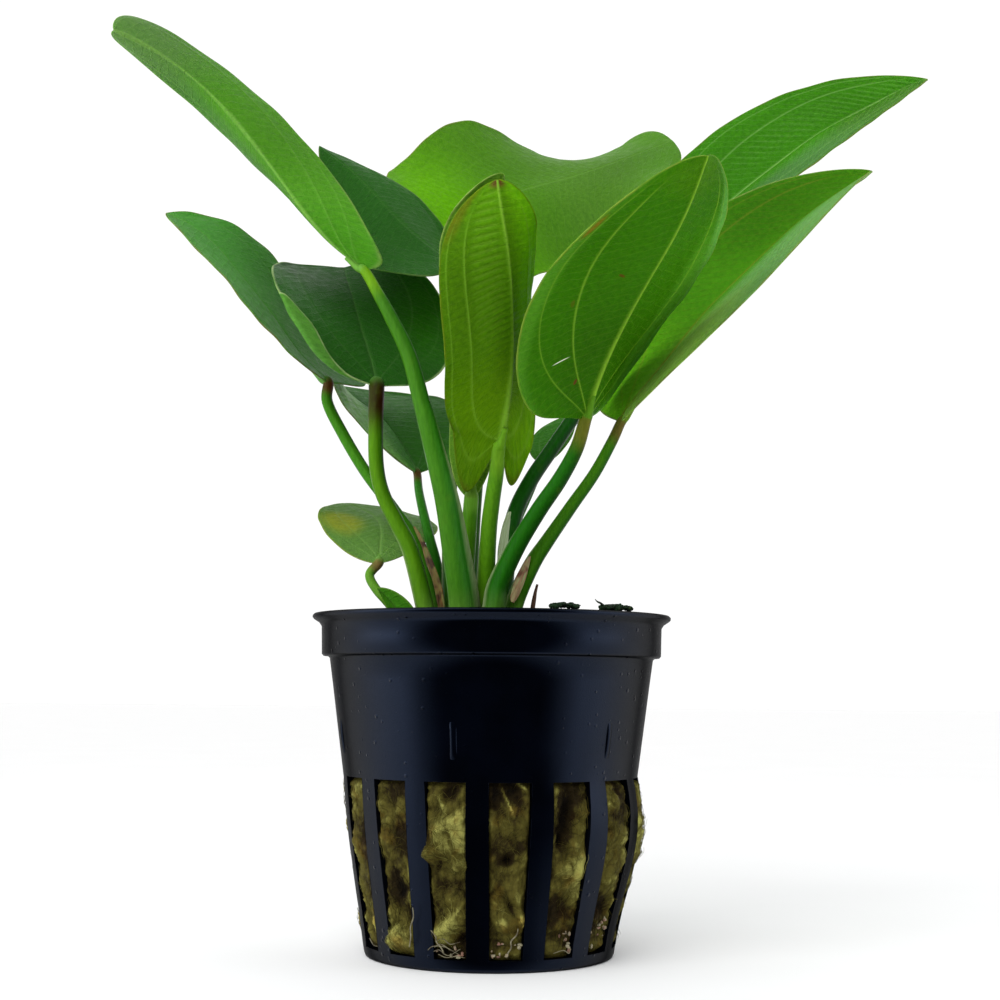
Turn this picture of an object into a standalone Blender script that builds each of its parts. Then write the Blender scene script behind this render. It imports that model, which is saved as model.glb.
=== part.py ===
"""Potted echinodorus: a small sword plant in rock wool, in a slotted net pot.

Lengths in the tables are millimetres and angles are degrees. Everything is turned into metres when a mesh is made.
The origin is on the floor at the middle of the pot's bottom, +Z is up and the front faces -Y.
"""

from math import asin, cos, degrees, e, exp, pi, radians, sin, sqrt

import bmesh
import bpy
from mathutils import Vector

MM = 0.001
GAP = 0.3  # free space between neighbouring pieces

# The pot
RIM_RADIUS = 27.5
RIM_TOP = 51.0
LIP_HEIGHT = 0.8
BAND_RADIUS = 26.0
BAND_TOP = 49.4
BAND_BOTTOM = 44.6
WALL_TOP_RADIUS = 24.8
BASE_RADIUS = 18.8
WALL = 1.0
FLOOR_THICKNESS = 1.5
SLOT_BOTTOM = 1.8
SLOT_TOP = 26.7
SLOT_LEVELS = (SLOT_BOTTOM, 6.5, 12.0, 17.5, 22.5, SLOT_TOP)
BAR_COUNT = 15
BAR_WIDTH = 3.2
FIRST_BAR = -4.6  # angle of one bar's middle from the front
BAR_BOW = 0.3  # the packed wool presses the bars out of the straight, most at one side
BAR_BOW_SIDE = 1.4
BAR_BOW_ANGLE = 72.0
FLOOR_SLOT_INNER = 9.0
FLOOR_SLOT_OUTER = 14.0
RIB_COUNT = 6
FIRST_RIB = -13.0
RIB_BOTTOM = 29.5
RIB_TOP = 35.5
RIB_WIDTH = 1.2
RIB_PROUD = 0.35

# The rock wool
WOOL_TOP = 44.2
SLOT_MIDDLE_TUFT = -16.6  # angle of the slot whose wool sticks out most at the front
SLOT_SIDE_BULGES = (79.4, 103.4)

# The crown and the stalks that stand on it
CROWN_CENTRE = (-4.0, -1.0)
CROWN_RADIUS = 9.0
CROWN_TOP = 47.2
STALK_BOTTOM = CROWN_TOP + GAP

# Blades
BLADE_THICK = 0.75
MARGIN_THICK = 0.35
LOBE_REACH = 0.10  # share of the length over which a basal lobe is drawn back


class Leaf:
    """One leaf: the blade's size and lie, and the stalk that carries it.

    base is where the blade starts. heading is the midrib's compass angle (0 is +X, 90 is the back) and climb its
    angle above level, each at the base, the middle and the tip. roll turns the blade about its midrib. taper holds
    the powers that narrow it to the base and to the tip. share, lobe, fold and cup have a left and a right value.
    under is how far the stalk's top stays below the blade, where the blade's lobes hang behind it.
    """

    def __init__(self, name, base, length, width, heading, climb, roll, taper, fold, cup, stalk, girth,
                 share=(0.5, 0.5), lobe=(0.0, 0.0), wave=(0.0, 1.0, 0.0), under=0.0, rows=12, columns=6):
        self.name = name
        self.base = Vector(base)
        self.length = length
        self.width = width
        self.heading = heading
        self.climb = climb
        self.roll = roll
        self.taper = taper
        self.fold = fold
        self.cup = cup
        self.stalk = stalk
        self.girth = girth
        self.share = share
        self.lobe = lobe
        self.wave = wave
        self.under = under
        self.rows = rows
        self.columns = columns


# stalk: points from the crown up to the blade. girth: the stalk's radius at the crown, halfway and at the blade.
LEAVES = [
    Leaf("01", (-19.9, -7.5, 103.3), 56.4, 15.1, (161, 180, 218), (35, 52, 6), (16, 65, 50), (0.67, 0.42),
         fold=(49, 35), cup=(33, 24), share=(0.62, 0.38), lobe=(0.1, 0.0), girth=(2.1, 1.45, 0.75),
         stalk=[(-4.7, -6.0, 52.5), (-5.7, -7.0, 59.0), (-7.2, -8.5, 68.0), (-9.4, -9.5, 77.0), (-11.0, -9.5, 83.0),
                (-13.0, -9.2, 90.0), (-15.9, -8.8, 96.0), (-17.8, -8.1, 99.5)]),
    Leaf("02", (-6.9, 5.5, 108.0), 33.3, 20.9, (189, 146, 180), (30, 46, 34), (-30, -41, -37), (0.30, 0.74),
         fold=(-7, -15), cup=(-6, -11), share=(0.55, 0.45), girth=(1.2, 0.95, 0.8),
         stalk=[(-6.6, 2.8, 53.0), (-6.8, 3.2, 66.0), (-6.4, 3.6, 75.5), (-5.0, 4.0, 85.5), (-3.6, 5.0, 96.5),
                (-4.2, 5.6, 104.5)]),
    Leaf("03", (-26.6, 6.0, 88.4), 42.5, 27.0, (156, 170, 154), (38, 53, 20), (-8, -23, -39), (0.32, 0.84),
         fold=(11, -1), cup=(8, -1), share=(0.42, 0.58), lobe=(0.0, 0.05), girth=(1.1, 0.95, 0.85),
         stalk=[(-9.2, 1.4, 53.5), (-11.7, 2.4, 61.9), (-15.7, 3.4, 67.8), (-20.3, 4.5, 73.8), (-24.2, 5.6, 80.2),
                (-26.7, 6.0, 85.2)]),
    Leaf("04", (-18.2, -3.0, 86.2), 35.1, 30.2, (108, 111, 97), (48, 48, 28), (-4, -2, -16), (0.47, 0.47),
         fold=(15, 4), cup=(10, 2), lobe=(0.04, 0.06), girth=(1.5, 1.15, 1.25),
         stalk=[(-10.2, -3.5, 52.5), (-12.4, -3.5, 60.5), (-14.7, -3.5, 65.0), (-17.0, -3.5, 69.5),
                (-18.0, -3.5, 74.0), (-18.2, -3.5, 80.5)]),
    Leaf("05", (-12.6, 15.0, 75.0), 26.7, 26.7, (140, 134, 159), (60, 36, 35), (-21, -15, -1), (0.51, 0.74),
         fold=(27, 8), cup=(17, 7), girth=(0.9, 0.8, 0.65), rows=10, columns=4,
         stalk=[(-8.2, 5.2, 53.0), (-8.7, 4.9, 58.5), (-10.0, 5.0, 63.4), (-11.4, 8.6, 68.6),
                (-12.2, 12.2, 72.0)]),
    Leaf("06", (-17.9, 3.0, 59.2), 22.5, 19.5, (85, 107, 145), (60, 26, 20), (-11, -6, -12), (0.59, 0.55),
         fold=(4, -5), cup=(7, -1), girth=(1.0, 0.75, 0.75), rows=10, columns=4,
         stalk=[(-13.6, -0.2, 50.2), (-16.0, 0.6, 52.9), (-18.1, 1.6, 55.1), (-19.2, 2.5, 57.3)]),
    Leaf("07", (-10.8, 15.0, 114.3), 54.5, 38.5, (62, 23, -3), (40, 23, 23), (62, 33, 26), (0.32, 0.32),
         fold=(5, -14), cup=(5, -9), share=(0.48, 0.52), wave=(-5.1, 1.47, 0.09), girth=(1.3, 1.15, 0.8),
         stalk=[(-3.8, 4.8, 53.0), (-3.2, 6.4, 66.0), (-2.6, 8.6, 80.0), (-4.0, 11.6, 95.0), (-7.6, 14.0, 107.0)]),
    Leaf("08", (1.0, -9.6, 76.1), 42.3, 18.9, (-75, -92, -116), (57, 47, 75), (-21, 44, 3), (0.66, 0.54),
         fold=(19, 11), cup=(14, 8), share=(0.40, 0.58), lobe=(0.24, 0.30), under=1.3, girth=(1.2, 1.25, 1.0),
         stalk=[(-1.0, -3.2, 53.0), (-0.9, -3.9, 56.5), (-0.6, -6.2, 63.5), (-0.1, -8.0, 68.0), (0.5, -9.8, 72.0)]),
    Leaf("09", (13.6, -13.0, 79.8), 46.5, 32.0, (-57, -66, -67), (66, 33, 51), (8, 0, 10), (0.35, 0.53),
         fold=(24, 0), cup=(15, -1), lobe=(0.02, 0.06), girth=(1.6, 1.35, 0.95),
         stalk=[(0.6, -6.6, 52.5), (1.1, -6.8, 55.5), (3.6, -7.6, 61.0), (6.9, -9.2, 66.5), (10.0, -11.2, 71.0),
                (12.4, -12.6, 75.5)]),
    Leaf("10", (19.4, -6.0, 80.5), 56.0, 28.0, (5, -2, 2), (56, 46, 33), (4, 17, 6), (0.64, 0.76),
         fold=(36, 2), cup=(19, -3), share=(0.5, 0.54), lobe=(0.05, 0.0), girth=(1.45, 1.05, 0.75),
         stalk=[(3.7, -3.4, 53.0), (6.1, -3.8, 58.5), (8.2, -4.2, 62.0), (11.9, -5.0, 67.5), (15.4, -5.8, 72.5),
                (18.1, -6.0, 77.5)]),
    Leaf("11", (23.8, 10.0, 103.4), 63.5, 27.0, (11, 4, 6), (53, 39, 23), (31, 39, 42), (0.70, 0.90),
         fold=(16, 14), cup=(9, 7), girth=(1.3, 1.25, 0.9),
         stalk=[(1.6, 0.2, 53.0), (2.0, 0.6, 56.5), (2.5, 1.4, 62.1), (3.6, 2.2, 67.6), (6.0, 3.2, 72.7),
                (9.6, 4.8, 78.3), (14.2, 6.6, 85.6), (19.3, 8.6, 95.0)]),
    Leaf("12", (7.8, 10.0, 76.2), 11.5, 8.0, (59, 50, 41), (56, 49, 40), (9, 0, 2), (0.60, 0.60),
         fold=(5, 3), cup=(8, 4), girth=(0.8, 0.65, 0.55), rows=8, columns=4,
         stalk=[(0.2, 3.6, 53.0), (1.6, 4.8, 58.5), (3.4, 6.4, 65.0), (6.0, 8.6, 71.5)]),
    Leaf("13", (-3.4, -1.9, 69.0), 50.2, 13.4, (-69, -85, -57), (76, 61, 66), (-17, -32, 37), (0.56, 0.49),
         fold=(6, 17), cup=(6, 15), share=(0.35, 0.65), girth=(1.1, 1.2, 1.1),
         stalk=[(-4.2, -1.0, 53.0), (-3.9, -1.2, 59.5), (-3.6, -1.6, 65.5)]),
]


def clear_scene():
    for thing in list(bpy.data.objects):
        bpy.data.objects.remove(thing, do_unlink=True)


def material(name, colour, roughness, metallic=0.0):
    made = bpy.data.materials.new(name)
    made.use_nodes = True
    shader = made.node_tree.nodes["Principled BSDF"]
    shader.inputs["Base Color"].default_value = (*colour, 1.0)
    shader.inputs["Roughness"].default_value = roughness
    shader.inputs["Metallic"].default_value = metallic
    made.diffuse_color = (*colour, 1.0)
    return made


def mesh_object(name, points, faces, finish, sharp_angle=40.0):
    """A mesh from points in millimetres. Its faces are turned to point outward."""
    mesh = bpy.data.meshes.new(name)
    mesh.from_pydata([tuple(value * MM for value in point) for point in points], [], faces)
    shape = bmesh.new()
    shape.from_mesh(mesh)
    bmesh.ops.recalc_face_normals(shape, faces=shape.faces)
    shape.to_mesh(mesh)
    shape.free()
    mesh.shade_smooth()
    mesh.set_sharp_from_angle(angle=radians(sharp_angle))
    mesh.materials.append(finish)
    made = bpy.data.objects.new(name, mesh)
    bpy.context.scene.collection.objects.link(made)
    return made


def around(radius, angle, height):
    """A point at an angle from the front, positive towards +X."""
    return Vector((radius * sin(radians(angle)), -radius * cos(radians(angle)), height))


def along(three, share):
    """The parabola through a value at the start, the middle and the end."""
    start, middle, end = three
    return start * (2 * share - 1) * (share - 1) + middle * 4 * share * (1 - share) + end * share * (2 * share - 1)


def blade_frame(leaf, share):
    """Unit vectors along the midrib, to the right of the blade and out of its upper face."""
    heading = radians(along(leaf.heading, share))
    climb = radians(along(leaf.climb, share))
    roll = radians(along(leaf.roll, share))
    ahead = Vector((cos(climb) * cos(heading), cos(climb) * sin(heading), sin(climb)))
    up = Vector((-sin(climb) * cos(heading), -sin(climb) * sin(heading), cos(climb)))
    side = Vector((sin(heading), -cos(heading), 0.0))
    return ahead, side * cos(roll) - up * sin(roll), up * cos(roll) + side * sin(roll)


def midrib_points(leaf, steps=60):
    points = [leaf.base.copy()]
    for step in range(steps):
        ahead = blade_frame(leaf, (step + 0.5) / steps)[0]
        points.append(points[-1] + ahead * (leaf.length / steps))
    return points


def midrib_at(points, share):
    place = min(max(share, 0.0), 1.0) * (len(points) - 1)
    low = min(int(place), len(points) - 2)
    return points[low].lerp(points[low + 1], place - low)


def cross_section(fold, cup, reach, steps=12):
    """How far out and up a half blade goes, as shares of its width, when it rises by fold and then by cup."""
    out = rise = 0.0
    for step in range(steps):
        angle = radians(fold + cup * reach * (step + 0.5) / steps)
        out += cos(angle) * reach / steps
        rise += sin(angle) * reach / steps
    return out, rise


def blade_point(leaf, ribs, share, across):
    """A point on the blade: share runs from base to tip, across from -1 at the left margin to 1 at the right."""
    half = 1 if across > 0 else 0
    reach = abs(across)
    near_base, near_tip = leaf.taper
    widest = near_base / (near_base + near_tip)
    peak = widest ** near_base * (1 - widest) ** near_tip
    half_width = leaf.width * leaf.share[half] * share ** near_base * (1 - share) ** near_tip / peak
    drawn_back = leaf.lobe[half] * reach ** 2 * e * (share / LOBE_REACH) * exp(-share / LOBE_REACH)
    place = share - drawn_back
    ahead, side, up = blade_frame(leaf, min(max(place, 0.0), 1.0))
    out, rise = cross_section(leaf.fold[half], leaf.cup[half], reach)
    size, count, start = leaf.wave
    wave = size * reach ** 2 * sin(2 * pi * (count * share + start + 0.37 * half)) * sqrt(sin(pi * share))
    point = midrib_at(ribs, place) + ahead * (min(place, 0.0) * leaf.length)
    return point + side * (out * half_width * (1 if half else -1)) + up * (rise * half_width + wave)


def blade_solid(leaf, finish, name=None):
    """A leaf blade: a curved sheet from base to tip, given its thickness by a modifier."""
    ribs = midrib_points(leaf)
    shares = [(1 - cos(pi * row / leaf.rows)) / 2 for row in range(1, leaf.rows)]
    line = leaf.columns + 1
    acrosses = [-1 + 2 * column / leaf.columns for column in range(line)]
    points = [blade_point(leaf, ribs, share, across) for share in shares for across in acrosses]
    base, tip = len(points), len(points) + 1
    last = (leaf.rows - 2) * line
    points += [midrib_at(ribs, 0.0), midrib_at(ribs, 1.0)]
    faces = []
    for row in range(leaf.rows - 2):
        for column in range(leaf.columns):
            a = row * line + column
            faces.append((a, a + 1, a + 1 + line, a + line))
    for column in range(leaf.columns):
        faces.append((base, column + 1, column))
        faces.append((tip, last + column, last + column + 1))
    made = mesh_object(name or "leaf_" + leaf.name, points, faces, finish, 60.0)
    middle = made.vertex_groups.new(name="middle")
    for index in range(len(points)):
        across = acrosses[index % line] if index < base else 1.0
        middle.add([index], 1.0 - abs(across), "REPLACE")
    skin = made.modifiers.new("thickness", "SOLIDIFY")
    skin.thickness = BLADE_THICK * MM
    skin.offset = 0.0
    skin.vertex_group = middle.name
    skin.thickness_vertex_group = MARGIN_THICK / BLADE_THICK
    return made


def smooth_route(points, steps):
    """Points of a Catmull-Rom curve through the given ones."""
    points = [Vector(point) for point in points]
    padded = [points[0] * 2 - points[1]] + points + [points[-1] * 2 - points[-2]]
    route = []
    for a, b, c, d in zip(padded, padded[1:], padded[2:], padded[3:]):
        for step in range(steps):
            t = step / steps
            route.append(0.5 * (2 * b + (c - a) * t + (2 * a - 5 * b + 4 * c - d) * t ** 2
                                + (3 * b - a - 3 * c + d) * t ** 3))
    return route + [points[-1]]


def tube_solid(name, route, radii, finish):
    """A closed tube along a route. radii has the radius at the start, halfway and at the end."""
    curve = bpy.data.curves.new(name, "CURVE")
    curve.dimensions = "3D"
    curve.bevel_depth = MM
    curve.bevel_resolution = 2
    curve.use_fill_caps = True
    spline = curve.splines.new("POLY")
    spline.points.add(len(route) - 1)
    for index, place in enumerate(route):
        spline.points[index].co = (*(place * MM), 1.0)
        spline.points[index].radius = along(radii, index / (len(route) - 1))
    curve.materials.append(finish)
    made = bpy.data.objects.new(name, curve)
    bpy.context.scene.collection.objects.link(made)
    return made


def stalk_solid(leaf, finish):
    """The stalk from the crown's top to just short of the blade. Its first stretch is upright, so its foot is level."""
    first = Vector(leaf.stalk[0])
    foot = Vector((*CROWN_CENTRE, STALK_BOTTOM)).lerp(Vector((first.x, first.y, STALK_BOTTOM)), 0.86)
    ahead, _, up = blade_frame(leaf, 0.0)
    top = leaf.base - ahead * 3 * GAP - up * leaf.under
    rise = foot + Vector((0.0, 0.0, 1.5 * GAP))
    route = smooth_route([rise] + leaf.stalk + [top], 1 if len(leaf.stalk) > 5 else 2)
    return tube_solid("stem_" + leaf.name, [foot] + route, leaf.girth, finish)


def wall_radius(height):
    """Outer radius of the tapered wall."""
    return BASE_RADIUS + (WALL_TOP_RADIUS - BASE_RADIUS) * height / BAND_BOTTOM


def bow(angle, height):
    """How far a bar stands out of the straight wall at a height."""
    share = (height - SLOT_BOTTOM) / (SLOT_TOP - SLOT_BOTTOM)
    if share <= 0 or share >= 1:
        return 0.0
    toward = max(0.0, cos(radians(angle - BAR_BOW_ANGLE)))
    return (BAR_BOW + BAR_BOW_SIDE * toward ** 2) * sin(pi * share ** 1.6)


def half_bar(radius):
    return degrees(asin(BAR_WIDTH / 2 / radius))


def pot_columns(radius):
    """Angles of each bar's two edges and of the slot's middle beyond it."""
    step = 360 / BAR_COUNT
    edge = half_bar(radius)
    columns = []
    for bar in range(BAR_COUNT):
        middle = FIRST_BAR + bar * step
        columns += [middle - edge, middle + edge, middle + step / 2]
    return columns


def pot_solid(finish):
    """The pot as one skin: outside from the floor up, over the lip, down the inside and across the floor."""
    low, high = wall_radius(SLOT_BOTTOM), wall_radius(SLOT_TOP)
    # each ring has its radius, its height, and the wall radius that sets where the bars' edges are
    below = [(FLOOR_SLOT_INNER, 0.0, low), (FLOOR_SLOT_OUTER, 0.0, low), (BASE_RADIUS - 0.5, 0.0, low),
             (BASE_RADIUS, 0.5, low)]
    outside = [(wall_radius(level), level, wall_radius(level)) for level in SLOT_LEVELS]
    upper = [
        (WALL_TOP_RADIUS, BAND_BOTTOM - 0.3, high),
        (BAND_RADIUS, BAND_BOTTOM, high),
        (BAND_RADIUS + 0.1, BAND_TOP, high),
        (RIM_RADIUS, RIM_TOP - LIP_HEIGHT, high),
        (RIM_RADIUS, RIM_TOP - 0.15, high),
        (RIM_RADIUS - 0.3, RIM_TOP, high),
        (BAND_RADIUS - WALL - 0.1, RIM_TOP, high),
        (BAND_RADIUS - WALL - 0.1, BAND_BOTTOM + 0.6, high),
        (WALL_TOP_RADIUS - WALL, BAND_BOTTOM - 0.6, high),
    ]
    inside = [(radius - WALL, level, radius) for radius, level, _ in reversed(outside)]
    above = [(low - WALL - 0.1, FLOOR_THICKNESS, low), (FLOOR_SLOT_OUTER, FLOOR_THICKNESS, low),
             (FLOOR_SLOT_INNER, FLOOR_THICKNESS, low)]
    rings = below + outside + upper + inside + above
    outer_low = len(below)
    outer_high = outer_low + len(outside) - 1
    inner_high = outer_high + len(upper) + 1
    inner_low = inner_high + len(inside) - 1
    floor_outer, floor_inner = len(rings) - 2, len(rings) - 1
    open_rings = {0, floor_outer, *range(outer_low, outer_high), *range(inner_high, inner_low)}
    points = []
    for radius, height, bars_at in rings:
        points += [around(radius + bow(angle, height), angle, height) for angle in pot_columns(bars_at)]
    line = 3 * BAR_COUNT
    faces = []

    def at(ring, column):
        return ring * line + column % line

    def strip(first, second, column):
        faces.append((at(first, column), at(first, column + 1), at(second, column + 1), at(second, column)))

    for column in range(line):
        in_slot = column % 3 != 0
        for ring in range(len(rings) - 1):
            if not (in_slot and ring in open_rings):
                strip(ring, ring + 1, column)
        if in_slot:
            strip(outer_low, inner_low, column)
            strip(inner_high, outer_high, column)
            strip(floor_inner, 0, column)
            strip(1, floor_outer, column)
    for bar in range(BAR_COUNT):
        for column in (3 * bar, 3 * bar + 1):
            for step in range(len(outside) - 1):
                out, back = outer_low + step, inner_low - step
                faces.append((at(out, column), at(out + 1, column), at(back - 1, column), at(back, column)))
            faces.append((at(0, column), at(1, column), at(floor_outer, column), at(floor_inner, column)))
    faces.append(tuple(at(0, column) for column in range(line)))
    faces.append(tuple(at(floor_inner, column) for column in reversed(range(line))))
    return mesh_object("net_pot", points, faces, finish, 35.0)


def add_ribs(pot):
    """Six short upright ribs on the wall above the slots, fused to it."""
    for rib in range(RIB_COUNT):
        angle = FIRST_RIB + rib * 360 / RIB_COUNT
        corners = []
        for height in (RIB_BOTTOM, RIB_TOP):
            radius = wall_radius(height)
            reach = degrees(RIB_WIDTH / 2 / radius)
            for depth, share in ((-0.5, 1.0), (RIB_PROUD, 0.6)):
                corners.append(around(radius + depth, angle - reach * share, height))
                corners.append(around(radius + depth, angle + reach * share, height))
        faces = [(0, 1, 3, 2), (4, 6, 7, 5), (0, 4, 5, 1), (2, 3, 7, 6), (0, 2, 6, 4), (1, 5, 7, 3)]
        cutter = mesh_object(f"rib_guide_{rib + 1}", corners, faces, pot.data.materials[0])
        cutter.hide_render = True
        cutter.display_type = "WIRE"
        union = pot.modifiers.new(cutter.name, "BOOLEAN")
        union.operation = "UNION"
        union.object = cutter


def wool_bulge(angle, height):
    """How far the wool stands out of a slot, measured from the pot's outer wall."""
    share = (height - SLOT_BOTTOM) / (SLOT_TOP - SLOT_BOTTOM)
    lumps = 0.35 * sin(0.9 * height + 0.11 * angle) + 0.25 * sin(0.43 * height - 0.23 * angle + 1.0)
    bulge = -0.45 + lumps
    if abs(angle - SLOT_MIDDLE_TUFT) < 12:
        bulge = 0.5 + 1.1 * sin(pi * share) + 0.5 * sin(1.1 * height)
    for side in SLOT_SIDE_BULGES:
        if abs(angle - side) < 12:
            bulge = 0.1 + 0.8 * sin(pi * share ** 3) + 0.2 * sin(0.8 * height)
    return bulge


def wool_solid(finish):
    """The plug of rock wool: it fills the pot and swells into each slot."""
    step = 360 / BAR_COUNT
    free = WALL + GAP
    heights = [SLOT_BOTTOM + GAP, 6.0, 10.5, 15.0, 19.0, 22.8, SLOT_TOP - GAP]
    rings = []
    for index, height in enumerate([FLOOR_THICKNESS + GAP] + heights + [WOOL_TOP - 1.0, WOOL_TOP]):
        in_slots = 1 < index < len(heights)
        outer = wall_radius(height)
        inner = outer - free - (0.1 if height > SLOT_TOP or height < SLOT_BOTTOM else 0.0)
        if height == WOOL_TOP:
            inner -= 1.2
        edge = half_bar(outer) + degrees(GAP / outer)
        ring = []
        for bar in range(BAR_COUNT):
            middle = FIRST_BAR + bar * step
            slot = (middle + step / 2 + 180) % 360 - 180
            width = step - 2 * edge
            for side in (middle - edge, middle + edge):
                ring.append(around(inner + bow(side, height), side, height))
            for part in (0.3, 0.7):
                place = middle + edge + width * part
                swell = outer + wool_bulge(slot + 20 * (part - 0.5), height) if in_slots else inner
                ring.append(around(swell + bow(place, height), place, height))
        rings.append(ring)
    line = 4 * BAR_COUNT
    points = [point for ring in rings for point in ring]
    faces = []
    for ring in range(len(rings) - 1):
        for column in range(line):
            after = (column + 1) % line
            faces.append((ring * line + column, ring * line + after, (ring + 1) * line + after,
                          (ring + 1) * line + column))
    faces.append(tuple(reversed(range(line))))
    last = (len(rings) - 1) * line
    faces.append(tuple(range(last, last + line)))
    return mesh_object("rock_wool", points, faces, finish, 50.0)


def crown_solid(finish):
    """The short stem base on the wool, from which all the stalks rise."""
    height = CROWN_TOP - WOOL_TOP - GAP
    shape = bmesh.new()
    bmesh.ops.create_cone(shape, cap_ends=True, segments=20, radius1=CROWN_RADIUS * MM,
                          radius2=(CROWN_RADIUS - 0.5) * MM, depth=height * MM)
    mesh = bpy.data.meshes.new("crown")
    shape.to_mesh(mesh)
    shape.free()
    mesh.materials.append(finish)
    made = bpy.data.objects.new("crown", mesh)
    made.location = Vector((*CROWN_CENTRE, CROWN_TOP - height / 2)) * MM
    bpy.context.scene.collection.objects.link(made)
    edge = made.modifiers.new("soft_edge", "BEVEL")
    edge.width = 0.5 * MM
    edge.segments = 1
    return made


def clump_solid(name, centre, size, finish, seed):
    """A small lump of growth: a ball pushed out and in by a smooth rule."""
    shape = bmesh.new()
    bmesh.ops.create_icosphere(shape, subdivisions=1, radius=1.0)
    points = []
    for corner in shape.verts:
        x, y, z = corner.co
        push = 1.0 + 0.16 * sin(5.1 * x + seed) * cos(4.3 * y - seed) + 0.12 * sin(6.7 * z + 2 * x + seed)
        points.append(Vector(centre) + Vector((x * size[0], y * size[1], z * size[2])) * push)
    faces = [tuple(corner.index for corner in face.verts) for face in shape.faces]
    shape.free()
    return mesh_object(name, points, faces, finish, 80.0)


def small_pieces(leaf_green, dry, pale, algae, root):
    """The bract, the sheaths, the dead stalk, the growth on the rim and the root threads."""
    bract = Leaf("bract", (-11.8, -3.4, 47.9), 9.4, 4.4, (172, 166, 160), (62, 50, 38), (55, 60, 60), (0.5, 0.8),
                 fold=(10, 10), cup=(6, 6), stalk=[], girth=(), rows=8, columns=4)
    tan = Leaf("tan", (-7.3, -2.6, 48.2), 17.5, 2.6, (150, 150, 160), (84, 70, 66), (40, 50, 50), (0.35, 0.7),
               fold=(12, 12), cup=(8, 8), stalk=[], girth=(), rows=9, columns=4)
    clear = Leaf("pale", (1.3, -4.2, 56.6), 10.4, 2.4, (60, 40, 40), (82, 80, 80), (-70, -70, -60), (0.4, 0.5),
                 fold=(10, 10), cup=(10, 10), stalk=[], girth=(), rows=8, columns=4)
    pink = Leaf("pink", (3.0, -6.4, 52.8), 7.5, 1.6, (11, 11, 11), (69, 69, 69), (-70, -70, -60), (0.4, 0.6),
                fold=(8, 8), cup=(8, 8), stalk=[], girth=(), rows=8, columns=4)
    for spec, name, finish in ((bract, "bract", leaf_green), (tan, "sheath_tan", dry), (clear, "sheath_pale", pale),
                               (pink, "sheath_pink", pale)):
        blade_solid(spec, finish, name)
    dead = smooth_route([(6.4, -0.6, 47.6), (6.2, -1.4, 51.5), (6.5, -1.8, 54.0), (6.9, -2.0, 55.8)], 2)
    tube_solid("dead_stalk", dead, (0.45, 0.35, 0.2), dry)
    on_rim = RIM_TOP + GAP
    clump_solid("algae_left", around(25.4, 24.0, on_rim + 0.6), (1.9, 1.1, 0.48), algae, 0.4)
    clump_solid("algae_right", around(25.4, 44.5, on_rim + 0.6), (2.5, 1.3, 0.48), algae, 2.1)
    for number, (angle, low, high, lean) in enumerate(((-33.5, 3.4, 9.0, 3.0), (-18.0, 2.8, 6.0, -5.0),
                                                       (7.5, 3.0, 6.5, 4.0)), 1):
        route = [around(wall_radius(height) + 1.0, angle + lean * (height - low) / (high - low), height)
                 for height in (low, (low + high) / 2, high)]
        tube_solid(f"root_{number}", smooth_route(route, 2), (0.22, 0.25, 0.2), root)


def main():
    clear_scene()
    black = material("pot_plastic", (0.012, 0.014, 0.022), 0.35)
    wool = material("rock_wool", (0.20, 0.19, 0.06), 0.95)
    stem_base = material("crown_tissue", (0.30, 0.42, 0.14), 0.5)
    leaf_green = material("leaf", (0.07, 0.24, 0.02), 0.4)
    stalk_green = material("stalk", (0.08, 0.26, 0.03), 0.4)
    dry = material("dry_tissue", (0.22, 0.13, 0.06), 0.8)
    pale = material("pale_tissue", (0.45, 0.48, 0.32), 0.6)
    algae = material("algae", (0.02, 0.05, 0.02), 0.8)
    root = material("root", (0.45, 0.38, 0.26), 0.7)
    add_ribs(pot_solid(black))
    wool_solid(wool)
    crown_solid(stem_base)
    for leaf in LEAVES:
        blade_solid(leaf, leaf_green)
        stalk_solid(leaf, stalk_green)
    small_pieces(leaf_green, dry, pale, algae, root)


main()
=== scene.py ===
"""Looks of a potted echinodorus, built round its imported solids.

Lengths in the tables are millimetres and angles are degrees. Meshes are made in metres.
Across a blade, -1 is the left margin and 1 the right one, seen from base to tip with the upper face up.
A share of a blade's length is 0 at its base and 1 at its tip.
"""

import random
from dataclasses import dataclass
from math import asin, cos, degrees, pi, radians, sin, sqrt

import bmesh
import bpy
import numpy as np
from mathutils import Matrix, Vector, noise


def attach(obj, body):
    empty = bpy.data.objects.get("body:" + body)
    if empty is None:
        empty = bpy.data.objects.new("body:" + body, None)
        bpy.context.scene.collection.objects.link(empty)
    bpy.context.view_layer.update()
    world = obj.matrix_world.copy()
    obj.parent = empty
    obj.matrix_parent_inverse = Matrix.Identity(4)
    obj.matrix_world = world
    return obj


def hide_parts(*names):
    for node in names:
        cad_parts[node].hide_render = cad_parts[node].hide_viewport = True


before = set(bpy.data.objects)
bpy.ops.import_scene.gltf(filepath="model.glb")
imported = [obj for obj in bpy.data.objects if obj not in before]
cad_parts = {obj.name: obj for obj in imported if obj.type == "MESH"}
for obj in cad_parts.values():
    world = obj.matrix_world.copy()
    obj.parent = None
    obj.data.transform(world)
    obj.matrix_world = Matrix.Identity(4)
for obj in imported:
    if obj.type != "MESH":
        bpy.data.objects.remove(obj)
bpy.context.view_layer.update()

MM = 0.001
LIGHT_SHARE = 0.85  # base colours are given as they look in bright light, and this brings them back

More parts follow.
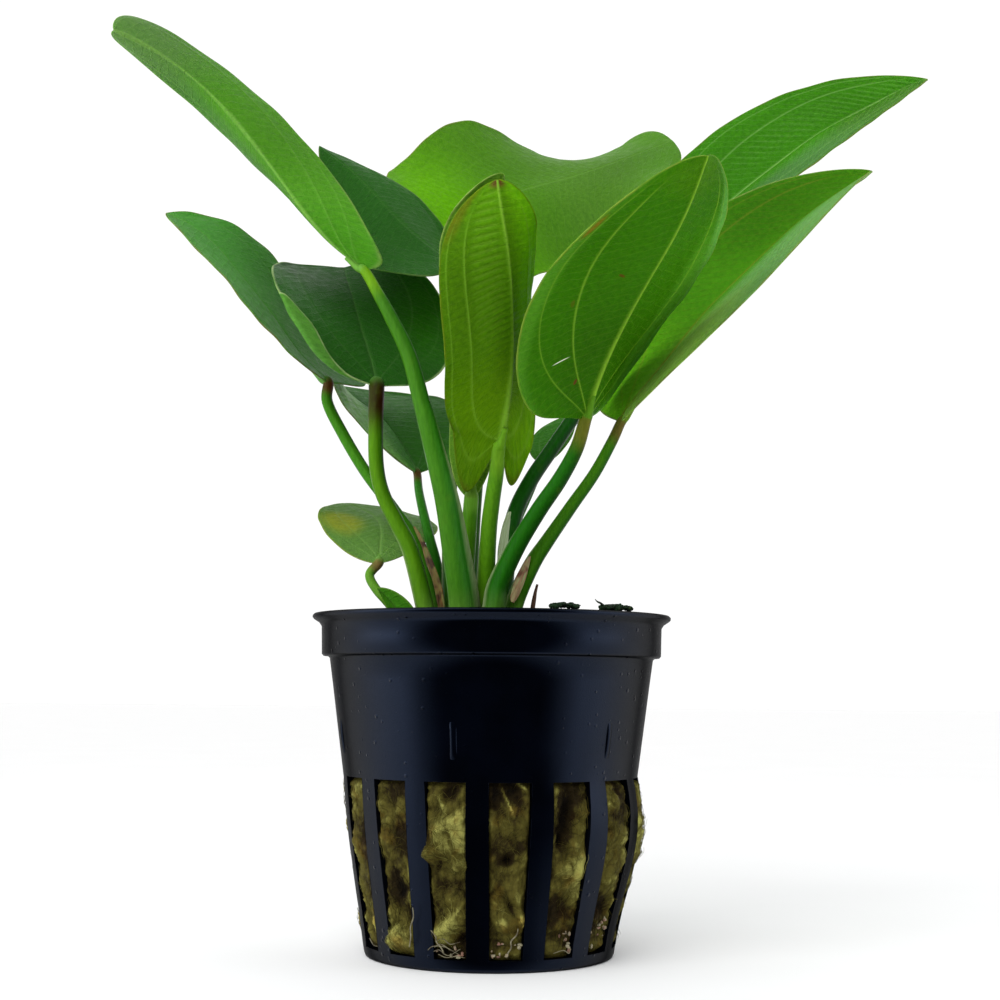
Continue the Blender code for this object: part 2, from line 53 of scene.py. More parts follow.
# The pot, as the solids have it
RIM_RADIUS = 27.5
RIM_TOP = 51.0
LIP_HEIGHT = 0.8
BAND_RADIUS = 26.0
BAND_TOP = 49.4
BAND_BOTTOM = 44.6
WALL_TOP_RADIUS = 24.8
BASE_RADIUS = 18.8
WALL = 1.0
FLOOR_THICKNESS = 1.5
SLOT_BOTTOM = 1.8
SLOT_TOP = 26.7
BAR_COUNT = 15
BAR_STEP = 360 / BAR_COUNT
BAR_WIDTH = 3.2
FIRST_BAR = -4.6
FIRST_SLOT = FIRST_BAR + BAR_STEP / 2
BAR_BOW = 0.3
BAR_BOW_SIDE = 1.4
BAR_BOW_ANGLE = 72.0
FLOOR_SLOT_INNER = 9.0
FLOOR_SLOT_OUTER = 14.0
RIB_COUNT = 6
FIRST_RIB = -13.0
RIB_BOTTOM = 29.5
RIB_TOP = 35.5
RIB_WIDTH = 1.2
RIB_PROUD = 0.35
POT_BAR_LINES = 4  # mesh lines on each bar
POT_LINES = 7  # mesh lines on each bar with the slot beyond it

# The wool, the crown and the leaves, as the solids have them
WOOL_TOP = 44.2
CROWN_CENTRE = (-4.0, -1.0)
CROWN_RADIUS = 9.0
CROWN_TOP = 47.2
STALK_BOTTOM = 47.5
FOOT_SHARE = 0.86  # how far out from the crown's middle a stalk's foot is, of its lowest point's distance
LOBE_REACH = 0.10
MIDRIB_STEPS = 60

ROLLED_SHARE = 0.44  # how much of the length a rolled margin takes from the base
HAIR_STEPS = 8  # points of each loose hair
HAIR_RADIUS = 21.0  # about how far from the pot's axis the hairs lie
LOOSE_RISE = 1.2  # a form of the wool that rises more than this lies over the bars beside it


def paint(red, green, blue):
    """A colour as it looks in the light, 0 to 255 each, turned into a linear base colour."""
    share = np.array([red, green, blue]) / 255
    return np.where(share <= 0.04045, share / 12.92, ((share + 0.055) / 1.055) ** 2.4) * LIGHT_SHARE


@dataclass
class Leaf:
    """One leaf's measures, as in the solids, with the colours and relief that the render adds.

    Threes are values at the base, the middle and the tip. Pairs are for the left and the right half.
    """

    name: str
    base: tuple
    length: float
    width: float
    heading: tuple
    climb: tuple
    roll: tuple
    taper: tuple  # how slowly the blade widens from its base, and how slowly it narrows to its tip
    fold: tuple
    cup: tuple
    stalk: tuple = ()
    girth: tuple = ()
    share: tuple = (0.5, 0.5)  # of the width
    lobe: tuple = (0.0, 0.0)
    wave: tuple = (0.0, 1.0, 0.0)  # height, count and start
    below: float = 0.0  # how far the stalk's top stays under the blade
    upper: tuple = (45, 100, 45)
    under: tuple = (75, 130, 45)
    vein: tuple = (130, 165, 80)
    edge: tuple = (110, 80, 30)
    veins: tuple = ((0.74, 0.3), (0.9, 0.13))  # of each side vein: how far out, and over what share
    rib: tuple = (0.6, 0.3, 0.9, 0.5)  # how strongly the midrib and the side veins show above, then below
    keel: float = 0.8  # how wide the midrib is beside its stalk
    quilt: float = 0.06  # how high the blade swells between its cross veins
    cross: tuple = (1.5, 0.5)  # how far apart the cross veins are, and how they slope
    ladder: float = 0.0  # how pale the swellings are
    halves: tuple = (1.0, 1.0)  # how much of the swellings each half has
    ruffle: float = 0.15
    rolled: float = 0.0  # how far the left margin rolls over at its widest
    tone_and_light_patches: tuple = ()  # across, share, how wide, how long, colour, strength, and 1 above, 0 below or None. Some are the leaf's own tones, others are painted light and painted sheen
    marks: tuple = ()  # small spots: sideways, lengthwise, turn, half length, half width, colour
    shine: float = 0.02


LEAVES = [
    Leaf("01", (-19.9, -7.5, 103.3), 56.4, 15.1, (161, 180, 218), (35, 52, 6), (16, 65, 50), (0.67, 0.42),
         fold=(49, 35), cup=(33, 24), share=(0.62, 0.38), lobe=(0.1, 0.0), girth=(2.1, 1.45, 0.75),
         stalk=[(-4.7, -6.0, 52.5), (-5.7, -7.0, 59.0), (-7.2, -8.5, 68.0), (-9.4, -9.5, 77.0),
                (-11.0, -9.5, 83.0), (-13.0, -9.2, 90.0), (-15.9, -8.8, 96.0), (-17.8, -8.1, 99.5)],
         upper=(50, 110, 35), under=(74, 138, 27), vein=(140, 185, 90), edge=(104, 142, 60),
         rib=(0.6, 0.2, 0.4, 0.15), keel=0.15, quilt=0.05, ruffle=0.12, shine=0.05,
         # The greyer tip patch (90, 132, 64) on the lower face is a painted sheen.
         tone_and_light_patches=[(0.8, 0.7, 0.7, 0.7, (68, 118, 50), 0.7, 0), (0.0, 1.0, 2.0, 0.35, (90, 132, 64), 0.85, 0),
                  (0.0, 0.0, 2.0, 0.35, (58, 129, 3), 0.85, 0)]),
    Leaf("02", (-6.9, 5.5, 108.0), 33.3, 20.9, (189, 146, 180), (30, 46, 34), (-30, -41, -37), (0.30, 0.74),
         fold=(-7, -15), cup=(-6, -11), share=(0.55, 0.45), girth=(1.2, 0.95, 0.8),
         stalk=[(-6.6, 2.8, 53.0), (-6.8, 3.2, 66.0), (-6.4, 3.6, 75.5), (-5.0, 4.0, 85.5), (-3.6, 5.0, 96.5),
                (-4.2, 5.6, 104.5)],
         upper=(36, 93, 22), under=(66, 122, 32), vein=(70, 122, 48), edge=(90, 120, 60),
         rib=(0.3, 0.15, 0.8, 0.4), shine=0.05),
    Leaf("03", (-26.6, 6.0, 88.4), 42.5, 27.0, (156, 170, 154), (38, 53, 20), (-8, -23, -39), (0.32, 0.84),
         fold=(11, -1), cup=(8, -1), share=(0.42, 0.58), lobe=(0.0, 0.05), girth=(1.1, 0.95, 0.85),
         stalk=[(-9.2, 1.4, 53.5), (-11.7, 2.4, 61.9), (-15.7, 3.4, 67.8), (-20.3, 4.5, 73.8),
                (-24.2, 5.6, 80.2), (-26.7, 6.0, 85.2)],
         upper=(70, 142, 50), under=(76, 134, 44), vein=(115, 165, 85), edge=(105, 110, 55),
         rib=(0.5, 0.25, 0.8, 0.4), quilt=0.05, ruffle=0.25, shine=0.05),
    Leaf("04", (-18.2, -3.0, 86.2), 35.1, 30.2, (108, 111, 97), (48, 48, 28), (-4, -2, -16), (0.47, 0.47),
         fold=(15, 4), cup=(10, 2), lobe=(0.04, 0.06), girth=(1.5, 1.15, 1.25),
         stalk=[(-10.2, -3.5, 52.5), (-12.4, -3.5, 60.5), (-14.7, -3.5, 65.0), (-17.0, -3.5, 69.5),
                (-18.0, -3.5, 74.0), (-18.2, -3.5, 80.5)],
         upper=(33, 88, 18), under=(74, 128, 44), vein=(70, 115, 50), edge=(150, 175, 115), rolled=3.0,
         rib=(0.7, 0.45, 0.7, 0.3), quilt=0.09, cross=(1.8, 0.8), shine=0.04,
         # The grey-green patch (54, 98, 46) on the upper face is a painted sheen.
         tone_and_light_patches=[(0.9, 0.45, 0.6, 0.4, (32, 92, 2), 0.85, 1), (-0.6, 0.75, 0.5, 0.3, (54, 98, 46), 0.7, 1)]),
    Leaf("05", (-12.6, 15.0, 75.0), 26.7, 26.7, (140, 134, 159), (60, 36, 35), (-21, -15, -1), (0.51, 0.74),
         fold=(27, 8), cup=(17, 7), girth=(0.9, 0.8, 0.65),
         stalk=[(-8.2, 5.2, 53.0), (-8.7, 4.9, 58.5), (-10.0, 5.0, 63.4), (-11.4, 8.6, 68.6),
                (-12.2, 12.2, 72.0)],
         upper=(59, 124, 39), under=(78, 125, 50), vein=(100, 140, 85), edge=(110, 120, 70),
         rib=(0.6, 0.45, 0.7, 0.35), quilt=0.07, shine=0.08,
         tone_and_light_patches=[(-0.7, 0.5, 0.6, 1.0, (108, 172, 72), 0.9, 1)]),
    Leaf("06", (-17.9, 3.0, 59.2), 22.5, 19.5, (85, 107, 145), (60, 26, 20), (-11, -6, -12), (0.59, 0.55),
         fold=(4, -5), cup=(7, -1), girth=(1.0, 0.75, 0.75),
         stalk=[(-13.6, -0.2, 50.2), (-16.0, 0.6, 52.9), (-18.1, 1.6, 55.1), (-19.2, 2.5, 57.3)],
         upper=(86, 126, 56), under=(92, 140, 50), vein=(120, 160, 80), edge=(120, 135, 60),
         rib=(0.5, 0.4, 0.6, 0.35),
         tone_and_light_patches=[(-0.62, 0.49, 0.5, 0.28, (140, 148, 42), 0.8, None)]),
    Leaf("07", (-10.8, 15.0, 114.3), 54.5, 38.5, (62, 23, -3), (40, 23, 23), (62, 33, 26), (0.32, 0.32),
         fold=(5, -14), cup=(5, -9), share=(0.48, 0.52), wave=(-5.1, 1.47, 0.09), girth=(1.3, 1.15, 0.8),
         stalk=[(-3.8, 4.8, 53.0), (-3.2, 6.4, 66.0), (-2.6, 8.6, 80.0), (-4.0, 11.6, 95.0),
                (-7.6, 14.0, 107.0)],
         upper=(74, 128, 26), under=(84, 140, 30), vein=(110, 155, 65), edge=(120, 130, 60),
         rib=(0.5, 0.12, 0.8, 0.4), quilt=0.05, ruffle=0.3,
         # The bright green toward the base (95, 167, 4) is painted light shining through the blade; the
         # greyer patch (78, 124, 38) is a painted sheen.
         tone_and_light_patches=[(0.0, 0.0, 2.0, 0.48, (95, 167, 4), 1.0, 1),
                  (0.0, 0.68, 2.0, 0.24, (78, 124, 38), 0.7, 1)]),
    Leaf("08", (1.0, -9.6, 76.1), 42.3, 18.9, (-75, -92, -116), (57, 47, 75), (-21, 44, 3), (0.66, 0.54),
         fold=(19, 11), cup=(14, 8), share=(0.40, 0.58), lobe=(0.24, 0.30), below=1.3, girth=(1.2, 1.25, 1.0),
         stalk=[(-1.0, -3.2, 53.0), (-0.9, -3.9, 56.5), (-0.6, -6.2, 63.5), (-0.1, -8.0, 68.0),
                (0.5, -9.8, 72.0)],
         upper=(64, 118, 8), under=(80, 134, 8), vein=(118, 165, 45), edge=(90, 114, 16),
         veins=((0.64, 0.08), (0.9, 0.05)), rib=(0.6, 0.3, 1.0, 0.55), quilt=0.4, cross=(1.06, 0.12),
         ladder=0.3,
         halves=(0.3, 1.0),
         # The bright patch (114, 190, 14) on the left half is painted light, lifting a part that faces away
         # from the light.
         tone_and_light_patches=[(-0.75, 0.45, 0.8, 0.8, (114, 190, 14), 0.95, 0),
                  (0.85, 0.5, 0.5, 0.7, (68, 112, 6), 0.75, 0), (0.0, 0.1, 2.0, 0.4, (94, 142, 8), 0.8, 0),
                  (1.0, 0.9, 0.3, 0.12, (100, 92, 16), 0.6, 0),
                  (0.0, 1.0, 0.9, 0.035, (90, 50, 28), 0.95, None)]),
    Leaf("09", (13.6, -13.0, 79.8), 46.5, 32.0, (-57, -66, -67), (66, 33, 51), (8, 0, 10), (0.35, 0.53),
         fold=(24, 0), cup=(15, -1), lobe=(0.02, 0.06), girth=(1.6, 1.35, 0.95),
         stalk=[(0.6, -6.6, 52.5), (1.1, -6.8, 55.5), (3.6, -7.6, 61.0), (6.9, -9.2, 66.5),
                (10.0, -11.2, 71.0), (12.4, -12.6, 75.5)],
         upper=(48, 108, 16), under=(49, 111, 3), vein=(125, 170, 45), edge=(112, 140, 45),
         rib=(0.6, 0.3, 1.0, 0.65), quilt=0.05,
         tone_and_light_patches=[(0.0, 0.12, 0.8, 0.35, (42, 95, 2), 0.8, 0), (0.98, 0.45, 0.16, 0.6, (76, 138, 30), 0.8, 0),
                  (-0.96, 0.35, 0.2, 0.8, (98, 165, 70), 0.9, 0),
                  # The patch (84, 152, 36) is painted light, lifting a band that faces away from the light.
                  (-0.72, 0.3, 0.34, 0.55, (84, 152, 36), 0.7, 0),
                  (0.0, 0.97, 1.2, 0.14, (64, 116, 4), 0.7, 0),
                  (0.95, 0.73, 0.05, 0.07, (128, 98, 20), 0.8, 0)],
         marks=[(7.6, 9.54, 149.8, 1.45, 0.11, (232, 238, 215)), (4.07, 6.05, 100, 0.55, 0.3, (96, 62, 22)),
                (4.45, 25.6, 20, 0.65, 0.28, (92, 70, 18)), (9.6, 19.5, 80, 0.8, 0.35, (78, 100, 12))]),
    Leaf("10", (19.4, -6.0, 80.5), 56.0, 28.0, (5, -2, 2), (56, 46, 33), (4, 17, 6), (0.64, 0.76),
         fold=(36, 2), cup=(19, -3), share=(0.5, 0.54), lobe=(0.05, 0.0), girth=(1.45, 1.05, 0.75),
         stalk=[(3.7, -3.4, 53.0), (6.1, -3.8, 58.5), (8.2, -4.2, 62.0), (11.9, -5.0, 67.5),
                (15.4, -5.8, 72.5), (18.1, -6.0, 77.5)],
         upper=(66, 134, 14), under=(72, 132, 10), vein=(136, 130, 44), edge=(112, 132, 62),
         rib=(0.85, 0.3, 1.0, 0.5), quilt=0.06, cross=(1.4, 0.9), ruffle=0.03,
         # The bright patch (88, 160, 18) near the base and the pale one (150, 200, 84) low on the right half
         # are painted light, where the base lies in shade and where the right half faces down.
         tone_and_light_patches=[(-0.5, 0.78, 0.9, 0.4, (50, 108, 8), 0.8, 1), (0.0, 0.06, 2.0, 0.36, (88, 160, 18), 0.9, 1),
                  (0.7, 0.55, 0.72, 0.8, (94, 148, 76), 0.95, None),
                  (0.6, 0.1, 0.8, 0.45, (150, 200, 84), 0.95, None)]),
    Leaf("11", (23.8, 10.0, 103.4), 63.5, 27.0, (11, 4, 6), (53, 39, 23), (31, 39, 42), (0.70, 0.90),
         fold=(16, 14), cup=(9, 7), girth=(1.3, 1.25, 0.9),
         stalk=[(1.6, 0.2, 53.0), (2.0, 0.6, 56.5), (2.5, 1.4, 62.1), (3.6, 2.2, 67.6), (6.0, 3.2, 72.7),
                (9.6, 4.8, 78.3), (14.2, 6.6, 85.6), (19.3, 8.6, 95.0)],
         upper=(55, 124, 14), under=(58, 126, 14), vein=(135, 185, 95), edge=(95, 115, 45),
         rib=(1.0, 0.4, 0.9, 0.4), keel=1.2, quilt=0.3, cross=(1.5, 0.9), ladder=0.1,
         tone_and_light_patches=[(0.75, 0.42, 0.7, 0.6, (72, 118, 60), 0.8, 1),
                  (0.6, 0.85, 0.8, 0.3, (62, 112, 26), 0.7, 1)]),
    Leaf("12", (7.8, 10.0, 76.2), 11.5, 8.0, (59, 50, 41), (56, 49, 40), (9, 0, 2), (0.60, 0.60),
         fold=(5, 3), cup=(8, 4), girth=(0.8, 0.65, 0.55),
         stalk=[(0.2, 3.6, 53.0), (1.6, 4.8, 58.5), (3.4, 6.4, 65.0), (6.0, 8.6, 71.5)],
         upper=(58, 118, 35), under=(66, 125, 40), vein=(100, 150, 70), edge=(80, 115, 45)),
    Leaf("13", (-3.4, -1.9, 69.0), 50.2, 13.4, (-69, -85, -57), (76, 61, 66), (-17, -32, 37), (0.56, 0.49),
         fold=(6, 17), cup=(6, 15), share=(0.35, 0.65), girth=(1.1, 1.2, 1.1),
         stalk=[(-4.2, -1.0, 53.0), (-3.9, -1.2, 59.5), (-3.6, -1.6, 65.5)],
         upper=(60, 108, 15), under=(84, 130, 30), vein=(110, 150, 50), edge=(140, 165, 80),
         rib=(0.6, 0.3, 0.9, 0.5), quilt=0.08),
]

# Colours of each stalk: the green, its darker side, the top and how many millimetres the top's colour takes.
# The darker side is partly a darker groove and partly painted shade, on the right and underneath
STALK_COLOURS = {
    "01": ((60, 116, 20), (34, 104, 20), (108, 160, 22), 6.0),
    "02": ((42, 98, 16), (28, 78, 14), (46, 98, 20), 4.0),
    "03": ((58, 122, 16), (24, 72, 10), (74, 36, 18), 2.6),
    "04": ((76, 126, 8), (26, 76, 4), (38, 6, 3), 9.0),
    "05": ((46, 118, 22), (24, 78, 14), (84, 50, 20), 3.4),
    "06": ((88, 140, 35), (50, 100, 25), (110, 90, 50), 2.2),
    "07": ((56, 114, 14), (34, 84, 12), (66, 110, 14), 4.0),
    "08": ((82, 138, 18), (58, 112, 12), (92, 138, 22), 5.0),
    "09": ((25, 94, 4), (12, 60, 3), (96, 98, 26), 6.0),
    "10": ((58, 118, 8), (30, 82, 5), (90, 80, 30), 4.5),
    "11": ((20, 84, 8), (6, 50, 6), (30, 90, 20), 5.0),
    "12": ((50, 110, 16), (34, 88, 14), (66, 108, 20), 3.0),
    "13": ((80, 140, 20), (60, 115, 15), (95, 150, 40), 3.0),
}

# The stalks whose sheath stands out as a wing: the mesh line it is on and its height
STALK_WINGS = {"01": (7, 0.55), "08": (22, 0.3), "09": (21, 0.35), "10": (21, 0.35)}


# Where the mesh lines of a half blade run, with three close together at the midrib and at each side vein
VEIN_LINES = (0.45, 0.78)
HALF_LINES = (0.0, 0.012, 0.028, 0.055, 0.095, 0.14, 0.19, 0.24, 0.29, 0.34, 0.38, 0.41, 0.434, 0.45, 0.466,
              0.49, 0.52, 0.56, 0.60, 0.64, 0.68, 0.72, 0.75, 0.768, 0.78, 0.792, 0.81, 0.84, 0.87, 0.90,
              0.93, 0.955, 0.975, 0.99, 1.0)


def around(radius, angle, height):
    """Points at angles from the front, positive towards +X."""
    turn = np.radians(angle)
    return np.stack(np.broadcast_arrays(radius * np.sin(turn), -radius * np.cos(turn), height), -1)


def along(three, share):
    """The parabola through a value at the start, the middle and the end."""
    start, middle, end = three
    at_start, at_end = (2 * share - 1) * (share - 1), share * (2 * share - 1)
    return start * at_start + middle * 4 * share * (1 - share) + end * at_end


def unit(vectors):
    return vectors / np.maximum(np.linalg.norm(vectors, axis=-1, keepdims=True), 1e-12)


def smooth(value, low, high):
    """0 up to low, 1 from high on, and a soft step between them."""
    share = np.clip((value - low) / (high - low), 0.0, 1.0)
    return share * share * (3 - 2 * share)


def bell(value):
    return np.exp(-value ** 2)


def toward(colours, colour, share):
    """Colours moved toward another one. share has one value for each colour."""
    return colours + (colour - colours) * np.asarray(share)[..., None]


def ripple(x, y, seed):
    """A smooth irregular height between about -1 and 1, made of crossing waves."""
    total = np.zeros(np.broadcast(x, y).shape)
    for index in range(5):
        turn = 2.4 * index + seed
        pace = 0.6 + 0.23 * index
        total = total + np.sin(pace * (x * cos(turn) + y * sin(turn)) + 1.7 * seed * (index + 1)) / 5
    return total * 1.6


def curve(points, steps):
    """A smooth path through the points, with this many steps from each to the next, without the last one."""
    points = np.array(points, float)
    padded = np.concatenate([[2 * points[0] - points[1]], points, [2 * points[-1] - points[-2]]])
    a, b, c, d = (padded[first:len(points) - 1 + first, None] for first in range(4))
    t = (np.arange(steps) / steps)[:, None]
    path = 2 * b + (c - a) * t + (2 * a - 5 * b + 4 * c - d) * t ** 2 + (3 * b - a - 3 * c + d) * t ** 3
    return path.reshape(-1, 3) / 2


def blade_frame(leaf, share):
    """Unit vectors along the midrib, to the right of the blade and out of its upper face, for each share."""
    heading = np.radians(along(leaf.heading, share))
    climb = np.radians(along(leaf.climb, share))
    roll = np.radians(along(leaf.roll, share))[..., None]
    ahead = np.stack([np.cos(climb) * np.cos(heading), np.cos(climb) * np.sin(heading), np.sin(climb)], -1)
    up = np.stack([-np.sin(climb) * np.cos(heading), -np.sin(climb) * np.sin(heading), np.cos(climb)], -1)
    side = np.stack([np.sin(heading), -np.cos(heading), np.zeros_like(heading)], -1)
    return ahead, side * np.cos(roll) - up * np.sin(roll), up * np.cos(roll) + side * np.sin(roll)


def midrib_points(leaf, share):
    """Points of the midrib, which runs ahead from the base in short straight steps."""
    ahead = blade_frame(leaf, (np.arange(MIDRIB_STEPS) + 0.5) / MIDRIB_STEPS)[0]
    steps = np.concatenate([np.zeros((1, 3)), np.cumsum(ahead, 0)])
    line = np.array(leaf.base) + steps * leaf.length / MIDRIB_STEPS
    at = np.asarray(share) * MIDRIB_STEPS
    return np.stack([np.interp(at, np.arange(MIDRIB_STEPS + 1), values) for values in line.T], -1)


def half_widths(leaf, share, side):
    near_base, near_tip = leaf.taper
    widest = near_base / (near_base + near_tip)
    peak = widest ** near_base * (1 - widest) ** near_tip
    portion = np.where(side > 0, leaf.share[1], leaf.share[0])
    return leaf.width * portion * share ** near_base * (1 - share) ** near_tip / peak


def blade_sheet(leaf, share, across):
    """Points of the blade's middle sheet, for arrays of share and across."""
    half = (across > 0).astype(int)
    reach = np.abs(across)
    half_width = half_widths(leaf, share, across)
    lobe = share / LOBE_REACH * np.exp(1 - share / LOBE_REACH)
    place = share - np.array(leaf.lobe)[half] * reach ** 2 * lobe
    inside = np.clip(place, 0.0, 1.0)
    ahead, side, up = blade_frame(leaf, inside)
    fold = np.radians(np.array(leaf.fold, float))[half]
    cup = np.radians(np.array(leaf.cup, float))[half]
    out = (np.sin(fold + cup * reach) - np.sin(fold)) / cup * half_width * np.where(across > 0, 1.0, -1.0)
    rise = (np.cos(fold) - np.cos(fold + cup * reach)) / cup * half_width
    size, count, start = leaf.wave
    wave = np.sin(2 * pi * (count * share + start + 0.37 * half))
    wave = size * reach ** 2 * wave * np.sqrt(np.sin(pi * share))
    behind = np.minimum(place, 0.0) * leaf.length
    return (midrib_points(leaf, inside) + ahead * behind[..., None] + side * out[..., None]
            + up * (rise + wave)[..., None])


def make_mesh(name, points, faces, finish, slot, replaced=None, attributes=()):
    """A piece from points in millimetres that rides on the one body.

    attributes are named values of the points: numbers, vectors or, where the name is tint, colours.
    """
    mesh = bpy.data.meshes.new(name)
    mesh.from_pydata((np.reshape(points, (-1, 3)) * MM).tolist(), [], faces)
    for label, values in attributes:
        kind, field = {"tint": ("FLOAT_COLOR", "color"), "place": ("FLOAT_VECTOR", "vector")}.get(
            label, ("FLOAT", "value"))
        layer = mesh.attributes.new(label, kind, "POINT")
        layer.data.foreach_set(field, np.ascontiguousarray(values, np.float32).ravel())
    mesh.shade_smooth()
    mesh.materials.append(finish)
    mesh.update()
    piece = bpy.data.objects.new(name, mesh)
    bpy.context.scene.collection.objects.link(piece)
    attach(piece, "root")
    if replaced:
        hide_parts(replaced)
    return piece


def rgba(colours):
    return np.concatenate([colours, np.ones(colours.shape[:-1] + (1,))], -1)


def tube_faces(rings, sides):
    """Faces of a closed tube whose points go ring by ring, anticlockwise seen from its end."""
    faces = [tuple(reversed(range(sides))), tuple(range((rings - 1) * sides, rings * sides))]
    for first in range(0, (rings - 1) * sides, sides):
        for column in range(sides):
            a, b = first + column, first + (column + 1) % sides
            faces.append((a, b, b + sides, a + sides))
    return faces


def joined(parts):
    """Joins pairs of points and faces into one."""
    points, faces = [], []
    for some_points, some_faces in parts:
        first = len(points)
        points.extend(some_points)
        faces += [tuple(index + first for index in face) for face in some_faces]
    return points, faces


def blade_relief(leaf, seed, share, across, width, first, second):
    """How far a blade's swellings and ruffled margin stand out of its sheet, and where the swellings are."""
    reach = np.abs(across)
    run = share * leaf.length
    left = leaf.length - run
    sideways = across * width
    to_edge = width * (1 - reach)
    fade = smooth(to_edge, 0.0, 1.2) * smooth(run, 0.0, 2.0) * smooth(left, 0.0, 2.0)
    spacing, slope = leaf.cross
    count = (run + slope * np.abs(sideways)) / spacing + 0.35 * ripple(sideways * 0.5, run * 0.25, seed)
    outer = (reach - first) / (second - first)
    between = np.sin(pi * np.clip(reach / first, 0, 1)) + np.sin(pi * np.clip(outer, 0, 1))
    crest = (0.5 - 0.5 * np.cos(2 * pi * count)) * np.clip(between * 1.4, 0, 1) * fade
    if leaf.ladder:
        crest = crest * smooth(share, 0.2, 0.55) * np.where(reach > first, 0.35, 1.0)
        crest = crest * np.where(across > 0, leaf.halves[1], leaf.halves[0])
    swell = leaf.quilt * crest * (0.65 + 0.35 * ripple(sideways * 0.4, run * 0.3, seed + 2))
    swell = swell + 0.22 * fade * ripple(sideways * 0.35, run * 0.28, seed + 5)
    ruffle = leaf.ruffle * (1 - smooth(to_edge, 0.0, 2.5)) * ripple(run * 0.9, across * 1.5, seed + 9)
    ruffle = ruffle * smooth(run, 0.0, 4.0) * smooth(left, 0.0, 4.0)
    return swell + ruffle, crest, fade


def rolled_margin(leaf, shares, edge, outward, normal):
    """Columns of points that curl over beyond the left margin, with their normals and distances from it."""
    count, turn, bend = 9, radians(158), 0.42
    length = 0.06 + leaf.rolled * np.sin(pi * np.clip(shares / ROLLED_SHARE, 0, 1)) ** 0.8
    gone = length[:, None] * np.arange(count, 0, -1) / count
    angle = np.minimum(gone / bend, turn)[..., None]
    straight = np.maximum(gone - bend * turn, 0.0)[..., None]
    outward, normal = outward[:, None], normal[:, None]
    middle = (edge[:, None] + outward * (bend * np.sin(angle) + straight * cos(turn))
              + normal * (bend * (1 - np.cos(angle)) + straight * sin(turn)))
    return middle, normal * np.cos(angle) - outward * np.sin(angle), gone, length


